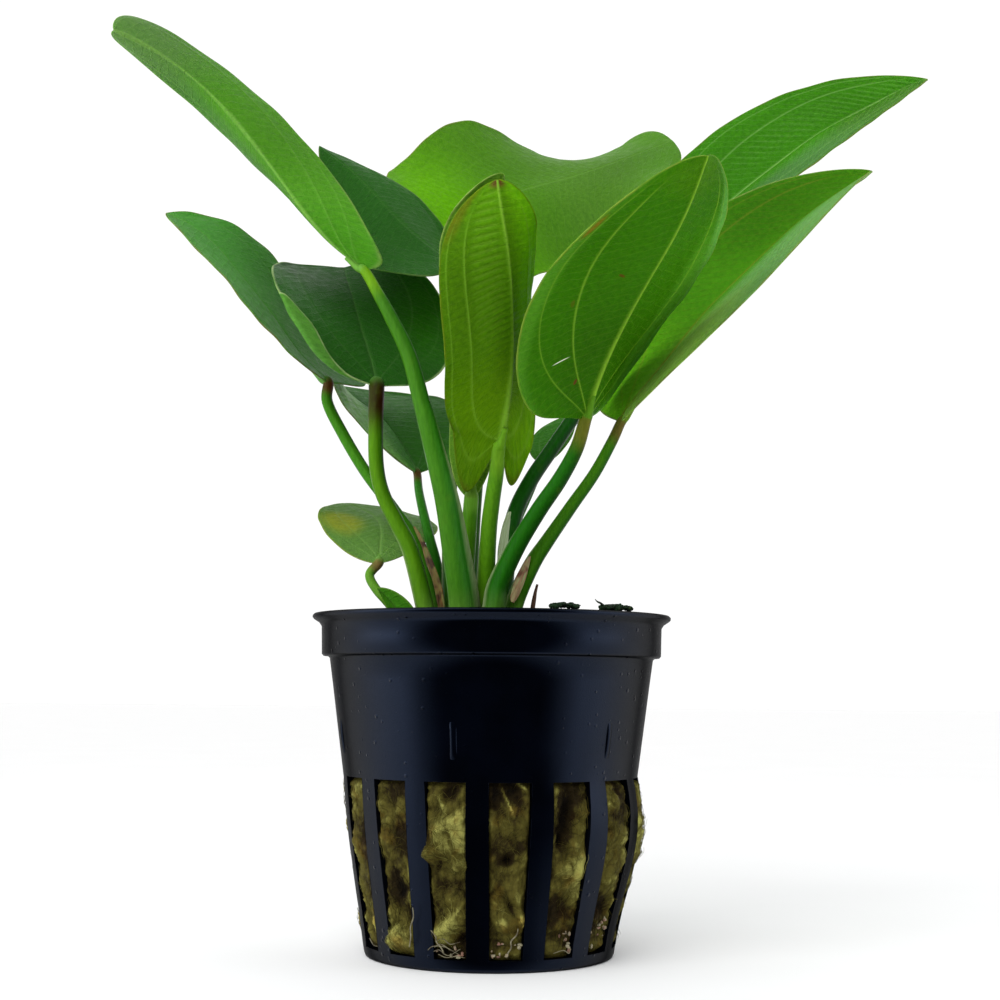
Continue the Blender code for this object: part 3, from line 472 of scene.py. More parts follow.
def blade_piece(leaf, name, finish, slot, replaced, rows=140, coarse=1, thick=0.42, thin=0.2):
    """A detailed blade: two sheets with veins, cross veins and margins, joined round the edge."""
    seed = sum(ord(letter) for letter in leaf.name) * 0.37
    steps = np.arange(1, rows) / rows
    shares = 0.75 * steps + 0.25 * (1 - np.cos(pi * steps)) / 2
    close = shares[0] * np.array([0.04, 0.2, 0.5])
    shares = np.concatenate([close, shares, 1 - close[::-1]])
    lines = np.array(HALF_LINES[::coarse])
    first, second = ((out * (1 - np.exp(-shares / start)))[:, None] for out, start in leaf.veins)
    reach = np.stack([np.interp(lines, (0.0, *VEIN_LINES, 1.0), (0.0, a, b, 1.0))
                      for a, b in np.concatenate([first, second], 1)])
    across = np.concatenate([-reach[:, :0:-1], reach], 1)
    share = np.broadcast_to(shares[:, None], across.shape)
    sheet = blade_sheet(leaf, share, across)
    width = half_widths(leaf, share, across)
    reach = np.abs(across)
    to_edge = width * (1 - reach)
    sideways = across * width
    normal = unit(np.cross(np.gradient(sheet, axis=1), np.gradient(sheet, axis=0)))
    relief, crest, fade = blade_relief(leaf, seed, share, across, width, first, second)
    sheet = sheet + normal * relief[..., None]

    top_girth = leaf.girth[2] if leaf.girth else 0.4
    rib_half = 0.5 * top_girth * leaf.keel * (1 - share) ** 3 + 0.13
    midrib = bell(sideways / rib_half)
    thin_midrib = bell(sideways / (0.13 + 0.5 * (rib_half - 0.13)))
    side_vein = bell((reach - first) * width / 0.13) + 0.7 * bell((reach - second) * width / 0.11)
    side_vein = side_vein * smooth(leaf.length * (1 - share), 1.0, 9.0)
    half_thick = (thin + (thick - thin) * smooth(to_edge, 0.0, 3.0)) / 2
    upper = sheet + normal * (half_thick - (0.12 * thin_midrib + 0.04 * side_vein) * fade)[..., None]
    lower = sheet - normal * (half_thick + 0.75 * rib_half * midrib + 0.09 * side_vein * fade)[..., None]

    if leaf.rolled:
        outward = unit(sheet[:, 0] - sheet[:, 1])
        middle, facing, gone, length = rolled_margin(leaf, shares, sheet[:, 0], outward, normal[:, 0])

        def widened(extra, values):
            return np.concatenate([np.broadcast_to(extra, gone.shape + values.shape[2:]), values], 1)

        upper = widened(middle + facing * thin / 2, upper)
        lower = widened(middle - facing * thin / 2, lower)
        to_edge = widened(length[:, None] - gone, to_edge)
        sideways = widened(sideways[:, :1] - gone, sideways)
        across = widened(-1.0, across)
        midrib, thin_midrib, side_vein, crest = (widened(0.0, values)
                                                 for values in (midrib, thin_midrib, side_vein, crest))
        share = np.broadcast_to(shares[:, None], across.shape)

    run = share * leaf.length
    tints, veins = [], []
    for face, colour, shape in ((1, leaf.upper, thin_midrib), (0, leaf.under, midrib)):
        tint = np.broadcast_to(paint(*colour), across.shape + (3,))
        # Colour patches: the leaf's own tones, and in places painted light and painted sheen
        for place, lengthwise, wide, long, patch, strength, side in leaf.tone_and_light_patches:
            if side is None or side == face:
                far = np.hypot((across - place) / wide, (share - lengthwise) / long)
                tint = toward(tint, paint(*patch), strength * (1 - smooth(far, 0.35, 1.0)))
        tints.append(tint * (1 + 0.10 * ripple(sideways * 0.3, run * 0.2, seed + 3 * face))[..., None])
        main, lateral = leaf.rib[2 - 2 * face:4 - 2 * face]
        veins.append(np.clip(main * shape + lateral * side_vein, 0, 1))

    count, columns = across.shape
    middle = columns // 2

    def both(upper_values, lower_values, base, tip):
        """Values ring by ring, over the upper face and back under the lower one, then of the two ends."""
        rings = np.concatenate([upper_values, lower_values[:, ::-1]], 1)
        return np.concatenate([rings.reshape((count * 2 * columns,) + rings.shape[2:]), [base, tip]])

    place = np.stack([sideways, run, np.zeros_like(run)], -1)
    attributes = [("tint", rgba(both(*tints, tints[0][0, middle], tints[0][-1, middle]))),
                  ("place", both(place, place, (0, 0, 0), (0, leaf.length, 0))),
                  ("vein", both(*veins, 0, 0)),
                  ("rim", both(to_edge, to_edge, 0, 0)),
                  ("crest", both(crest, crest, 0, 0))]
    points = both(upper, lower, *midrib_points(leaf, [0.0, 1.0]))
    base, sides = count * 2 * columns, 2 * columns
    faces = tube_faces(count, sides)[2:]
    for column in range(sides):
        after = (column + 1) % sides
        faces += [(base, after, column), (base + 1, base - sides + column, base - sides + after)]
    return make_mesh(name, points, faces, finish, slot, replaced, attributes)


class Graph:
    """Short calls that build one material's nodes."""

    def __init__(self, name, roughness=0.5, specular=0.5):
        self.material = bpy.data.materials.new(name)
        self.material.use_nodes = True
        self.tree = self.material.node_tree
        self.sockets = self.tree.nodes["Principled BSDF"].inputs
        self.sockets["Roughness"].default_value = roughness
        self.sockets["Specular IOR Level"].default_value = specular

    def add(self, kind, inputs, **settings):
        node = self.tree.nodes.new(kind)
        for key, value in settings.items():
            setattr(node, key, value)
        for place, value in inputs.items():
            if isinstance(value, bpy.types.NodeSocket):
                self.tree.links.new(value, node.inputs[place])
            else:
                node.inputs[place].default_value = value
        return node

    def math(self, operation, first, second=0.0, third=0.0):
        return self.add("ShaderNodeMath", {0: first, 1: second, 2: third}, operation=operation).outputs[0]

    def vector(self, operation, first, second=(0.0, 0.0, 0.0), output="Vector"):
        return self.add("ShaderNodeVectorMath", {0: first, 1: second}, operation=operation).outputs[output]

    def ramp(self, value, low, high, start=0.0, end=1.0):
        inputs = {"Value": value, "From Min": low, "From Max": high, "To Min": start, "To Max": end}
        return self.add("ShaderNodeMapRange", inputs, interpolation_type="SMOOTHSTEP").outputs[0]

    def mix(self, share, first, second, blend="MIX"):
        first, second = (value if isinstance(value, bpy.types.NodeSocket) else (*value, 1.0)
                         for value in (first, second))
        inputs = {0: share, 6: first, 7: second}
        return self.add("ShaderNodeMix", inputs, data_type="RGBA", blend_type=blend).outputs[2]

    def varied(self, colour, pattern, low, high, dark, light):
        """The colour times a dark tint where the pattern is low and a light one where it is high."""
        dark, light = (self.mix(1.0, colour, tint, "MULTIPLY") for tint in (dark, light))
        return self.mix(self.ramp(pattern, low, high), dark, light)

    def over(self, body, pattern, low, high, share, colour):
        """The body with this share of a colour over it where the pattern is high."""
        return self.mix(self.ramp(pattern, low, high, 0.0, share), body, paint(*colour))

    def attribute(self, name, output="Fac"):
        return self.add("ShaderNodeAttribute", {}, attribute_name=name).outputs[output]

    def place(self, *scale):
        """Object coordinates in millimetres, stretched by the scale if there is one."""
        coordinates = self.add("ShaderNodeTexCoord", {}).outputs["Object"]
        return self.vector("MULTIPLY", coordinates, tuple(value / MM for value in scale or (1.0, 1.0, 1.0)))

    def noise(self, vector, scale, detail=3.0, rough=0.55):
        inputs = {"Vector": vector, "Scale": scale, "Detail": detail, "Roughness": rough}
        return self.add("ShaderNodeTexNoise", inputs).outputs["Fac"]

    def cells(self, vector, scale, feature="F1"):
        return self.add("ShaderNodeTexVoronoi", {"Vector": vector, "Scale": scale}, feature=feature).outputs

    def done(self, colour, *relief, rough=None):
        """Links the base colour, the roughness and the relief: heights from 0 to 1 and their depths."""
        normal = None
        for height, depth in relief:
            inputs = {"Height": height, "Distance": depth * MM, "Strength": 1.0}
            if normal is not None:
                inputs["Normal"] = normal
            normal = self.add("ShaderNodeBump", inputs).outputs[0]
        for name, value in (("Base Color", colour), ("Roughness", rough), ("Normal", normal)):
            if value is not None:
                self.tree.links.new(value, self.sockets[name])
        return self.material


def blade_material(leaf, name):
    """Living leaf: tinted tissue with veins, a fine net of cross veins, a thin coloured margin and gloss."""
    graph = Graph(name, specular=leaf.shine)
    graph.sockets["Subsurface Weight"].default_value = 0.5
    graph.sockets["Subsurface Radius"].default_value = (0.7, 1.0, 0.3)
    graph.sockets["Subsurface Scale"].default_value = 0.5 * MM
    place = graph.attribute("place", "Vector")
    parts = graph.add("ShaderNodeSeparateXYZ", {0: place}).outputs
    spacing, slope = leaf.cross
    run = graph.math("MULTIPLY_ADD", graph.math("ABSOLUTE", parts[0]), slope, parts[1])
    run = graph.math("MULTIPLY_ADD", graph.noise(place, 0.35, 2.0), 1.1, graph.math("DIVIDE", run, spacing))
    cross = graph.ramp(graph.math("PINGPONG", run, 0.5), 0.0, 0.12, 1.0, 0.0)
    net = graph.ramp(graph.cells(place, 1.5, "DISTANCE_TO_EDGE")["Distance"], 0.0, 0.11, 1.0, 0.0)
    body = graph.varied(graph.attribute("tint", "Color"), graph.noise(place, 1.3, 4.0, 0.65), 0.25, 0.75,
                        (0.80, 0.84, 0.80), (1.22, 1.15, 1.15))
    pale = paint(*leaf.vein)
    for lines, strength in ((cross, 0.09), (net, 0.05)):
        body = graph.mix(graph.math("MULTIPLY", lines, strength), body, pale)
    if leaf.ladder:
        body = graph.over(body, graph.attribute("crest"), 0.35, 0.95, leaf.ladder, leaf.vein)
    body = graph.mix(graph.attribute("vein"), body, pale)
    body = graph.over(body, graph.noise(place, 0.8, 2.0, 0.8), 0.70, 0.78, 0.45, (90, 90, 20))
    for sideways, lengthwise, turn, long, wide, colour in leaf.marks:
        spot = graph.vector("SUBTRACT", place, (sideways, lengthwise, 0.0))
        spot = graph.add("ShaderNodeMapping",
                         {"Vector": spot, "Rotation": (0.0, 0.0, -radians(turn))}).outputs[0]
        spot = graph.vector("MULTIPLY", spot, (1 / long, 1 / wide, 0.0))
        far = graph.vector("LENGTH", spot, output="Value")
        body = graph.mix(graph.ramp(far, 0.55, 1.1, 1.0, 0.0), body, paint(*colour))
    margin = graph.ramp(graph.attribute("rim"), 0.05, 0.34, 1.0, 0.0)
    patchy = graph.ramp(graph.noise(place, 0.22, 1.0), 0.35, 0.6, 0.35, 1.0)
    body = graph.mix(graph.math("MULTIPLY", margin, patchy), body, paint(*leaf.edge))
    return graph.done(body, (cross, 0.05), (net, 0.03), (graph.noise(place, 3.2, 3.0), 0.05),
                      rough=graph.ramp(graph.noise(place, 0.6, 3.0), 0.3, 0.7, 0.33, 0.52))


def stalk_foot(leaf):
    """Where a stalk's foot is on the crown."""
    return np.array(CROWN_CENTRE) * (1 - FOOT_SHARE) + np.array(leaf.stalk[0][:2]) * FOOT_SHARE


def stalk_route(leaf):
    """The stalk's path, as the solids have it, then on under the blade, with the radius at each point."""
    foot = stalk_foot(leaf)
    points = [(*foot, STALK_BOTTOM - 0.5), (*foot, STALK_BOTTOM + 0.45), *leaf.stalk]
    body = len(points)
    for run, sunk in ((0.0, 0.1), (1.4, 0.42), (4.2, 0.36)):
        share = run / leaf.length
        up = blade_frame(leaf, np.array(share))[2]
        points.append(midrib_points(leaf, share) - up * (leaf.below + sunk * leaf.girth[2]))
    steps = 9
    route = curve(points, steps)
    run = np.arange(len(route)) / steps / body
    radii = along(leaf.girth, np.minimum(run, 1.0)) * (1 - 0.62 * smooth(run, 1.0, (body + 2) / body))
    return route, radii


def tube_points(route, radii, angles, shape):
    """Rings of points round a route. shape is each point's share of its ring's radius."""
    ahead = unit(np.gradient(route, axis=0))
    side = np.zeros_like(route)
    guide = np.array((0.0, -1.0, 0.0))
    for index, way in enumerate(ahead):
        guide = unit(guide - way * guide.dot(way))
        side[index] = guide
    across = np.cross(ahead, side)
    ring = side[:, None] * np.cos(angles)[:, None] + across[:, None] * np.sin(angles)[:, None]
    return route[:, None] + ring * (radii[:, None] * shape)[..., None], ring


def stalk_piece(leaf, finish):
    """A leaf stalk: grooved, finely ribbed, paler at its foot and coloured where it meets the blade."""
    route, radii = stalk_route(leaf)
    count, sides = len(route), 28
    angles = np.arange(sides) * 2 * pi / sides
    run = np.linspace(0, 1, count)[:, None]
    groove = 0.16 * bell((angles - pi) / 0.45) * smooth(run, 0.1, 0.4)
    lumps = 0.03 * ripple(run * 14, angles * 0.6, float(leaf.name) * 1.3)
    wing = np.zeros((count, sides))
    column, height = STALK_WINGS.get(leaf.name, (21, 0.2))
    wing[:, column] = (height * smooth(run, 0.05, 0.12) * (1 - smooth(run, 0.22, 0.5)))[:, 0]
    points, ring = tube_points(route, radii, angles, 1 - groove + 0.022 * np.cos(7 * angles) + lumps + wing)
    *colours, top_length = STALK_COLOURS[leaf.name]
    green, dark, top = (paint(*colour) for colour in colours)
    lengths = np.concatenate([[0], np.cumsum(np.linalg.norm(np.diff(route, axis=0), axis=1))])[:, None]
    end = np.argmin(np.linalg.norm(route - leaf.base, axis=1))
    from_top = lengths[end] - lengths
    # Darker toward the right and underneath: partly a darker groove, partly painted shade away from the key
    # light.
    tint = toward(green, dark, smooth(ring[..., 0] * 0.8 - ring[..., 2] * 0.4, -0.2, 0.9))
    upward = 1 - smooth(from_top, top_length * 0.35, top_length)
    tint = toward(tint, top, upward * (0.92 + 0.08 * ring[..., 0]))
    tint = toward(tint, paint(120, 160, 70), (1 - smooth(lengths, 2.0, 9.0)) * 0.45)
    tint = toward(tint, paint(165, 185, 130), np.clip(wing / 0.2, 0, 0.85))
    under_blade = 0.7 * paint(*leaf.under) + 0.3 * paint(*leaf.vein)
    tint = toward(tint, under_blade, smooth(np.arange(count) + 1.0 - end, 0.0, 5.0)[:, None])
    place = np.stack(np.broadcast_arrays(angles * 1.2, lengths, 0.0), -1)
    return make_mesh("petiole_" + leaf.name, points, tube_faces(count, sides), finish, "stalk",
                     "stem_" + leaf.name, [("tint", rgba(tint)), ("place", place)])


def stalk_material():
    """Moist stalk tissue with fine lengthwise streaks."""
    graph = Graph("stalk_tissue", specular=0.05)
    streak = graph.noise(graph.place(1.0, 1.0, 0.16), 2.6, 4.0, 0.6)
    place = graph.place()
    blotch = graph.noise(place, 0.35, 3.0)
    body = graph.varied(graph.attribute("tint", "Color"), streak, 0.3, 0.7, (0.85, 0.88, 0.85),
                        (1.13, 1.1, 1.13))
    return graph.done(graph.over(body, blotch, 0.55, 0.75, 0.12, (95, 130, 30)), (streak, 0.08),
                      (graph.noise(place, 5.0, 2.0), 0.02), rough=graph.ramp(blotch, 0.3, 0.7, 0.26, 0.42))


def wall_radius(height):
    return BASE_RADIUS + (WALL_TOP_RADIUS - BASE_RADIUS) * height / BAND_BOTTOM


def bow(angle, height):
    """How far the bars bulge out, which they do most on the right."""
    share = np.clip((height - SLOT_BOTTOM) / (SLOT_TOP - SLOT_BOTTOM), 0, 1)
    facing = np.maximum(0.0, np.cos(np.radians(angle - BAR_BOW_ANGLE)))
    return (BAR_BOW + BAR_BOW_SIDE * facing ** 2) * np.sin(pi * share ** 1.6)


def pot_columns(radius):
    """Angles of the mesh lines at a wall radius: four on each bar and three in the slot beyond it."""
    half = degrees(asin(BAR_WIDTH / 2 / radius))
    gap = BAR_STEP - 2 * half
    across = [-half, -half / 3, half / 3, half] + [half + gap * part for part in (0.25, 0.5, 0.75)]
    return [FIRST_BAR + bar * BAR_STEP + offset for bar in range(BAR_COUNT) for offset in across]


def pot_piece(finish):
    """The moulded pot with softened edges, a thin lip, a band and open slots."""
    low, high = wall_radius(SLOT_BOTTOM), wall_radius(SLOT_TOP)
    # Each ring: its radius, its height, and the wall radius that its bars are laid out for
    below = [(FLOOR_SLOT_INNER, 0.0, low), (FLOOR_SLOT_OUTER, 0.0, low), (BASE_RADIUS - 0.6, 0.0, low),
             (BASE_RADIUS - 0.15, 0.15, low), (BASE_RADIUS + 0.05, 0.6, low)]
    levels = np.linspace(SLOT_BOTTOM, SLOT_TOP, 15)
    outside = [(wall_radius(level), level, wall_radius(level)) for level in levels]
    upper = [(radius, level, high) for radius, level in (
        (wall_radius(31.0), 31.0), (wall_radius(36.0), 36.0), (wall_radius(41.0), 41.0),
        (WALL_TOP_RADIUS - 0.03, BAND_BOTTOM - 0.35), (WALL_TOP_RADIUS + 0.25, BAND_BOTTOM - 0.05),
        (BAND_RADIUS - 0.25, BAND_BOTTOM), (BAND_RADIUS, BAND_BOTTOM + 0.3), (BAND_RADIUS + 0.05, 47.2),
        (BAND_RADIUS + 0.1, BAND_TOP - 0.3), (BAND_RADIUS + 0.45, BAND_TOP + 0.25),
        (RIM_RADIUS - 0.2, RIM_TOP - LIP_HEIGHT), (RIM_RADIUS, RIM_TOP - LIP_HEIGHT + 0.25),
        (RIM_RADIUS, RIM_TOP - 0.25), (RIM_RADIUS - 0.25, RIM_TOP), (BAND_RADIUS - WALL + 0.2, RIM_TOP),
        (BAND_RADIUS - WALL - 0.1, RIM_TOP - 0.3), (BAND_RADIUS - WALL - 0.1, BAND_BOTTOM + 0.6),
        (WALL_TOP_RADIUS - WALL, BAND_BOTTOM - 0.6), (wall_radius(36.0) - WALL, 36.0))]
    inside = [(radius - WALL, level, radius) for radius, level, _ in reversed(outside)]
    above = [(low - WALL - 0.1, FLOOR_THICKNESS, low), (FLOOR_SLOT_OUTER, FLOOR_THICKNESS, low),
             (FLOOR_SLOT_INNER, FLOOR_THICKNESS, low)]
    rings = below + outside + upper + inside + above
    outer_low = len(below)
    outer_high = outer_low + len(outside) - 1
    inner_high = outer_high + len(upper) + 1
    inner_low = inner_high + len(inside) - 1
    floor_outer, floor_inner = len(rings) - 2, len(rings) - 1
    open_rings = {0, floor_outer, *range(outer_low, outer_high), *range(inner_high, inner_low)}
    angle = np.array([pot_columns(bars_at) for _, _, bars_at in rings])
    radius, height, _ = np.array(rings).T[..., None]
    uneven = 0.05 * np.sin(3 * np.radians(angle) + 0.4) * height / RIM_TOP
    points = around(radius + bow(angle, height) + uneven, angle, height).reshape(-1, 3)
    line = POT_LINES * BAR_COUNT
    faces = []

    def at(ring, column):
        return ring * line + column % line

    for column in range(line):
        strips = [(ring, ring + 1) for ring in range(len(rings) - 1)]
        if column % POT_LINES >= POT_BAR_LINES - 1:
            strips = [strip for strip in strips if strip[0] not in open_rings]
            strips += [(outer_low, inner_low), (inner_high, outer_high), (floor_inner, 0), (1, floor_outer)]
        for first, second in strips:
            after = column + 1
            faces.append((at(first, column), at(first, after), at(second, after), at(second, column)))
    bar_sides = [(outer_low + step, outer_low + step + 1, inner_low - step - 1, inner_low - step)
                 for step in range(len(outside) - 1)] + [(0, 1, floor_outer, floor_inner)]
    for column in range(0, line, POT_LINES):
        for side in bar_sides:
            faces.append(tuple(at(ring, column) for ring in reversed(side)))
            faces.append(tuple(at(ring, column + POT_BAR_LINES - 1) for ring in side))
    faces.append(tuple(at(0, column) for column in reversed(range(line))))
    faces.append(tuple(at(floor_inner, column) for column in range(line)))
    ribs = [rib(FIRST_RIB + number * 360 / RIB_COUNT) for number in range(RIB_COUNT)]
    points, faces = joined([(points, faces), *ribs])
    piece = make_mesh("pot_shell", points, faces, finish, "pot_plastic", "net_pot")
    piece.data.set_sharp_from_angle(angle=radians(50))
    bevel = piece.modifiers.new("soft_edges", "BEVEL")
    bevel.width = 0.22 * MM
    bevel.segments = 3
    bevel.limit_method = "ANGLE"
    bevel.angle_limit = radians(50)
    bevel.harden_normals = True
    return piece


def rib(angle, rows=9, across=7):
    """One short upright rib on the wall, rounded across and tapering out at its ends."""
    height = np.linspace(RIB_BOTTOM, RIB_TOP, rows)[:, None]
    place = np.linspace(-1, 1, across)
    radius = wall_radius(height)
    turn = angle + np.degrees(RIB_WIDTH / 2 / radius) * place
    ends = np.sin(pi * np.linspace(0, 1, rows))[:, None] ** 0.4
    front = around(radius + RIB_PROUD * ends * np.sqrt(1 - place ** 2) - 0.12, turn, height)
    back = around(radius - 0.5, turn, height)
    return np.concatenate([front, back[:, ::-1]], 1).reshape(-1, 3), tube_faces(rows, 2 * across)


def pot_material():
    """Black moulded plastic: dull face on, with a faint blue gloss where it turns aside and fine beads."""
    graph = Graph("black_plastic")
    graph.sockets["Specular Tint"].default_value = (0.37, 0.54, 1.0, 1.0)
    aside = graph.add("ShaderNodeLayerWeight", {"Blend": 0.5}).outputs["Facing"]
    gloss = graph.math("MULTIPLY", graph.ramp(aside, 0.05, 0.2, 0.01, 0.25),
                       graph.ramp(aside, 0.25, 0.7, 1.0, 0.02))
    graph.tree.links.new(gloss, graph.sockets["Specular IOR Level"])
    place = graph.place()
    cells = graph.cells(place, 0.85)
    size = graph.add("ShaderNodeSeparateColor", {0: cells["Color"]}).outputs[0]
    reach = graph.ramp(size, 0.35, 1.0, 0.0, 0.34)
    bead = graph.math("DIVIDE", cells["Distance"], graph.math("MAXIMUM", reach, 0.02))
    bead = graph.ramp(bead, 0.0, 1.0, 1.0, 0.0)
    black = graph.mix(graph.ramp(graph.noise(place, 0.12, 3.0), 0.35, 0.7), (0.0002, 0.0003, 0.0009),
                      (0.0004, 0.0007, 0.002))
    return graph.done(black, (graph.noise(place, 6.0, 3.0), 0.02), (bead, 0.1),
                      rough=graph.mix(bead, (0.34, 0.34, 0.34), (0.16, 0.16, 0.16)))


# Rolls and hollows of the wool: angle, height, half length, half width, lean from upright, rise, paleness.
# Paleness is partly the wool's own colour and partly painted shade, low in the hollows
WOOL_FORMS = [
    (-55.2, 25.0, 2.0, 1.3, 0, 0.4, 0.9), (-57.5, 17.8, 4.4, 1.4, 0, -0.5, -0.9),
    (-58.2, 6.5, 3.8, 1.4, -8, 0.5, 0.8), (-38.0, 24.8, 2.0, 2.2, 0, -0.3, -0.8),
    (-44.0, 18.4, 4.3, 0.8, 0, 0.3, -0.1), (-40.6, 11.7, 2.9, 1.5, 0, -1.0, -1.3),
    (-36.9, 19.4, 3.1, 1.4, 5, 0.1, -0.7), (-33.9, 13.9, 1.7, 0.4, -7, 0.5, 0.8),
    (-40.0, 4.5, 2.1, 2.4, -8, 1.6, 1.0), (-32.8, 7.8, 3.4, 0.7, -5, 0.6, 0.9),
    (-35.3, 8.1, 1.3, 0.3, -5, -0.6, -0.8), (-41.7, 8.0, 1.4, 1.1, 0, 0.2, 0.5),
    (-48.9, 3.6, 0.7, 1.0, 90, 1.5, 0.8), (-43.3, 1.6, 0.9, 0.5, 0, 1.3, 0.8),
    (-32.1, 2.1, 1.0, 0.4, -7, 1.3, 0.8), (-15.0, 25.4, 1.7, 1.3, 0, -0.9, -0.9),
    (-18.1, 23.9, 1.7, 0.4, -23, 0.7, 0.8), (-10.3, 24.9, 1.7, 0.9, 0, 0.0, 0.2),
    (-17.4, 18.9, 3.4, 2.3, 0, 2.3, 0.4), (-25.0, 16.6, 1.4, 1.7, 0, 2.2, 0.5),
    (-27.9, 16.8, 0.6, 0.7, 90, 1.6, 0.8), (-11.4, 15.1, 1.5, 1.4, -25, 1.9, 0.5),
    (-7.6, 14.9, 0.6, 0.6, 0, 1.6, 0.8), (-11.6, 20.1, 2.8, 1.1, 0, 1.0, 0.2),
    (-14.3, 19.0, 1.7, 0.3, -15, -0.5, -0.8), (-19.7, 15.0, 1.1, 0.3, 32, -0.4, -0.7),
    (-19.2, 11.9, 0.7, 1.3, 0, -0.5, -0.2), (-15.7, 10.0, 1.9, 2.2, 0, 0.5, 0.8),
    (-16.9, 6.4, 2.7, 1.1, 53, 1.5, 1.1), (-12.6, 8.7, 1.8, 0.4, 31, 0.6, 0.8),
    (-19.4, 2.8, 3.3, 0.9, 81, -1.9, -1.6), (-10.8, 4.8, 1.4, 0.8, 60, -1.6, -1.5),
    (7.5, 25.5, 2.1, 2.4, 0, -1.1, -1.1), (6.1, 24.4, 2.9, 0.2, -24, 0.9, 1.5),
    (11.7, 26.3, 1.0, 0.3, -51, 0.9, 1.6), (1.5, 24.4, 2.0, 0.8, 0, -0.5, -0.8),
    (10.2, 22.7, 2.2, 0.4, 12, 0.2, -0.5), (5.4, 18.0, 1.3, 1.8, 0, 0.5, -0.1),
    (11.4, 17.4, 1.4, 1.0, 20, 0.3, -0.4), (7.0, 15.9, 0.8, 0.8, 0, -1.0, -1.3),
    (4.6, 12.7, 1.7, 1.3, -30, -0.6, -0.7), (10.0, 11.8, 1.5, 1.0, 0, 0.2, -0.4),
    (12.7, 8.6, 3.2, 0.5, -14, 0.8, 0.8), (5.7, 6.8, 1.7, 1.1, -30, 0.6, 0.5),
    (8.7, 9.3, 1.3, 0.3, -25, -0.5, -0.8), (7.5, 4.0, 0.8, 2.0, 0, -0.2, -0.5),
    (24.3, 24.9, 2.5, 0.7, 9, 0.9, 0.9), (30.0, 21.2, 4.2, 1.5, 5, -1.7, -1.5),
    (33.6, 22.5, 3.4, 0.4, -7, 0.5, 0.3), (28.0, 18.4, 1.1, 0.6, 22, -1.2, -1.0),
    (31.5, 14.8, 2.8, 2.5, 0, 1.0, 0.8), (36.4, 14.3, 2.6, 0.9, 0, 0.6, 0.7),
    (28.8, 11.2, 1.0, 1.9, 0, 0.1, 0.2), (29.3, 9.1, 1.7, 1.8, 44, -0.5, -0.7),
    (32.7, 7.1, 1.1, 1.3, 0, 0.2, 0.2), (53.5, 21.4, 5.8, 2.7, 0, 0.6, 0.45),
    (56.2, 25.3, 1.2, 1.3, 0, -0.9, -1.0), (47.8, 24.0, 2.3, 0.9, 0, 0.4, 0.6),
    (57.3, 13.8, 2.9, 2.4, 0, 0.5, 0.5), (52.7, 8.9, 2.1, 1.7, -44, -0.6, -0.9),
    (62.3, 9.6, 1.5, 1.6, 0, 0.3, 0.4), (79.0, 18.0, 8.0, 2.6, 0, 0.9, 0.7),
    (76.0, 7.0, 3.0, 1.4, 20, -0.7, -0.9), (83.0, 12.0, 3.0, 1.0, -20, -0.8, -0.9),
    (103.0, 17.0, 8.0, 2.4, 8, 0.9, 0.7), (100.0, 8.0, 2.6, 1.4, 0, -0.9, -1.0),
    (106.0, 24.0, 2.2, 1.2, 0, -0.7, -0.8), (127.0, 19.0, 5.0, 2.6, 10, 1.7, 0.9),
    (124.0, 9.0, 4.0, 1.5, -12, -0.8, -1.0), (130.0, 5.0, 3.0, 1.2, 30, 0.8, 0.9),
    (151.0, 21.0, 4.0, 1.6, -8, -0.9, -0.9), (150.0, 12.0, 5.0, 2.2, 12, 0.9, 0.8),
    (152.0, 4.5, 2.6, 1.4, 80, -0.6, -0.8), (175.0, 16.0, 4.4, 2.6, 6, 1.6, 0.9),
    (172.0, 7.5, 3.0, 1.2, -20, -0.9, -1.0), (178.0, 24.0, 2.4, 0.9, 30, 0.6, 0.8),
    (-160.6, 20.0, 4.6, 1.6, 0, -0.8, -0.8), (-162.0, 10.0, 5.0, 2.0, 10, 0.9, 0.9),
    (-157.0, 15.0, 4.0, 0.8, -8, 0.7, 0.6), (-136.6, 21.0, 4.0, 2.2, 12, 0.9, 0.9),
    (-138.0, 9.0, 4.0, 1.8, 40, 1.6, 1.0), (-133.0, 14.5, 2.4, 1.2, 0, -0.9, -1.0),
    (-112.6, 17.0, 6.0, 2.2, 0, 0.7, 0.6), (-115.0, 8.0, 3.2, 1.2, 10, -0.9, -0.9),
    (-109.0, 24.0, 2.4, 1.2, 0, -0.7, -0.8), (-88.6, 20.0, 5.0, 2.2, 4, 0.6, 0.7),
    (-91.0, 11.0, 3.4, 1.3, -10, -0.8, -0.9), (-85.0, 5.0, 3.0, 1.4, 0, 0.7, 0.8),
    (-68.0, 17.0, 6.0, 1.4, 0, 0.5, 0.5), (69.0, 20.0, 5.0, 1.4, 0, 0.6, 0.5),
    (69.0, 7.0, 3.4, 1.4, 0, -0.5, -0.8),
]


def matted(points):
    """Heights of matted wool at an array of points: soft lumps of several sizes with creases between them."""
    heights = []
    for point in points.reshape(-1, 3):
        spot = Vector(point)
        height = 0.3 * noise.noise(spot * 0.2)
        for scale, size in ((0.34, 0.9), (0.8, 0.468), (1.9, 0.24336)):
            height += size * (abs(noise.noise(spot * scale + Vector((7, 3, scale)))) - 0.24)
        heights.append(height)
    return np.array(heights).reshape(points.shape[:-1])


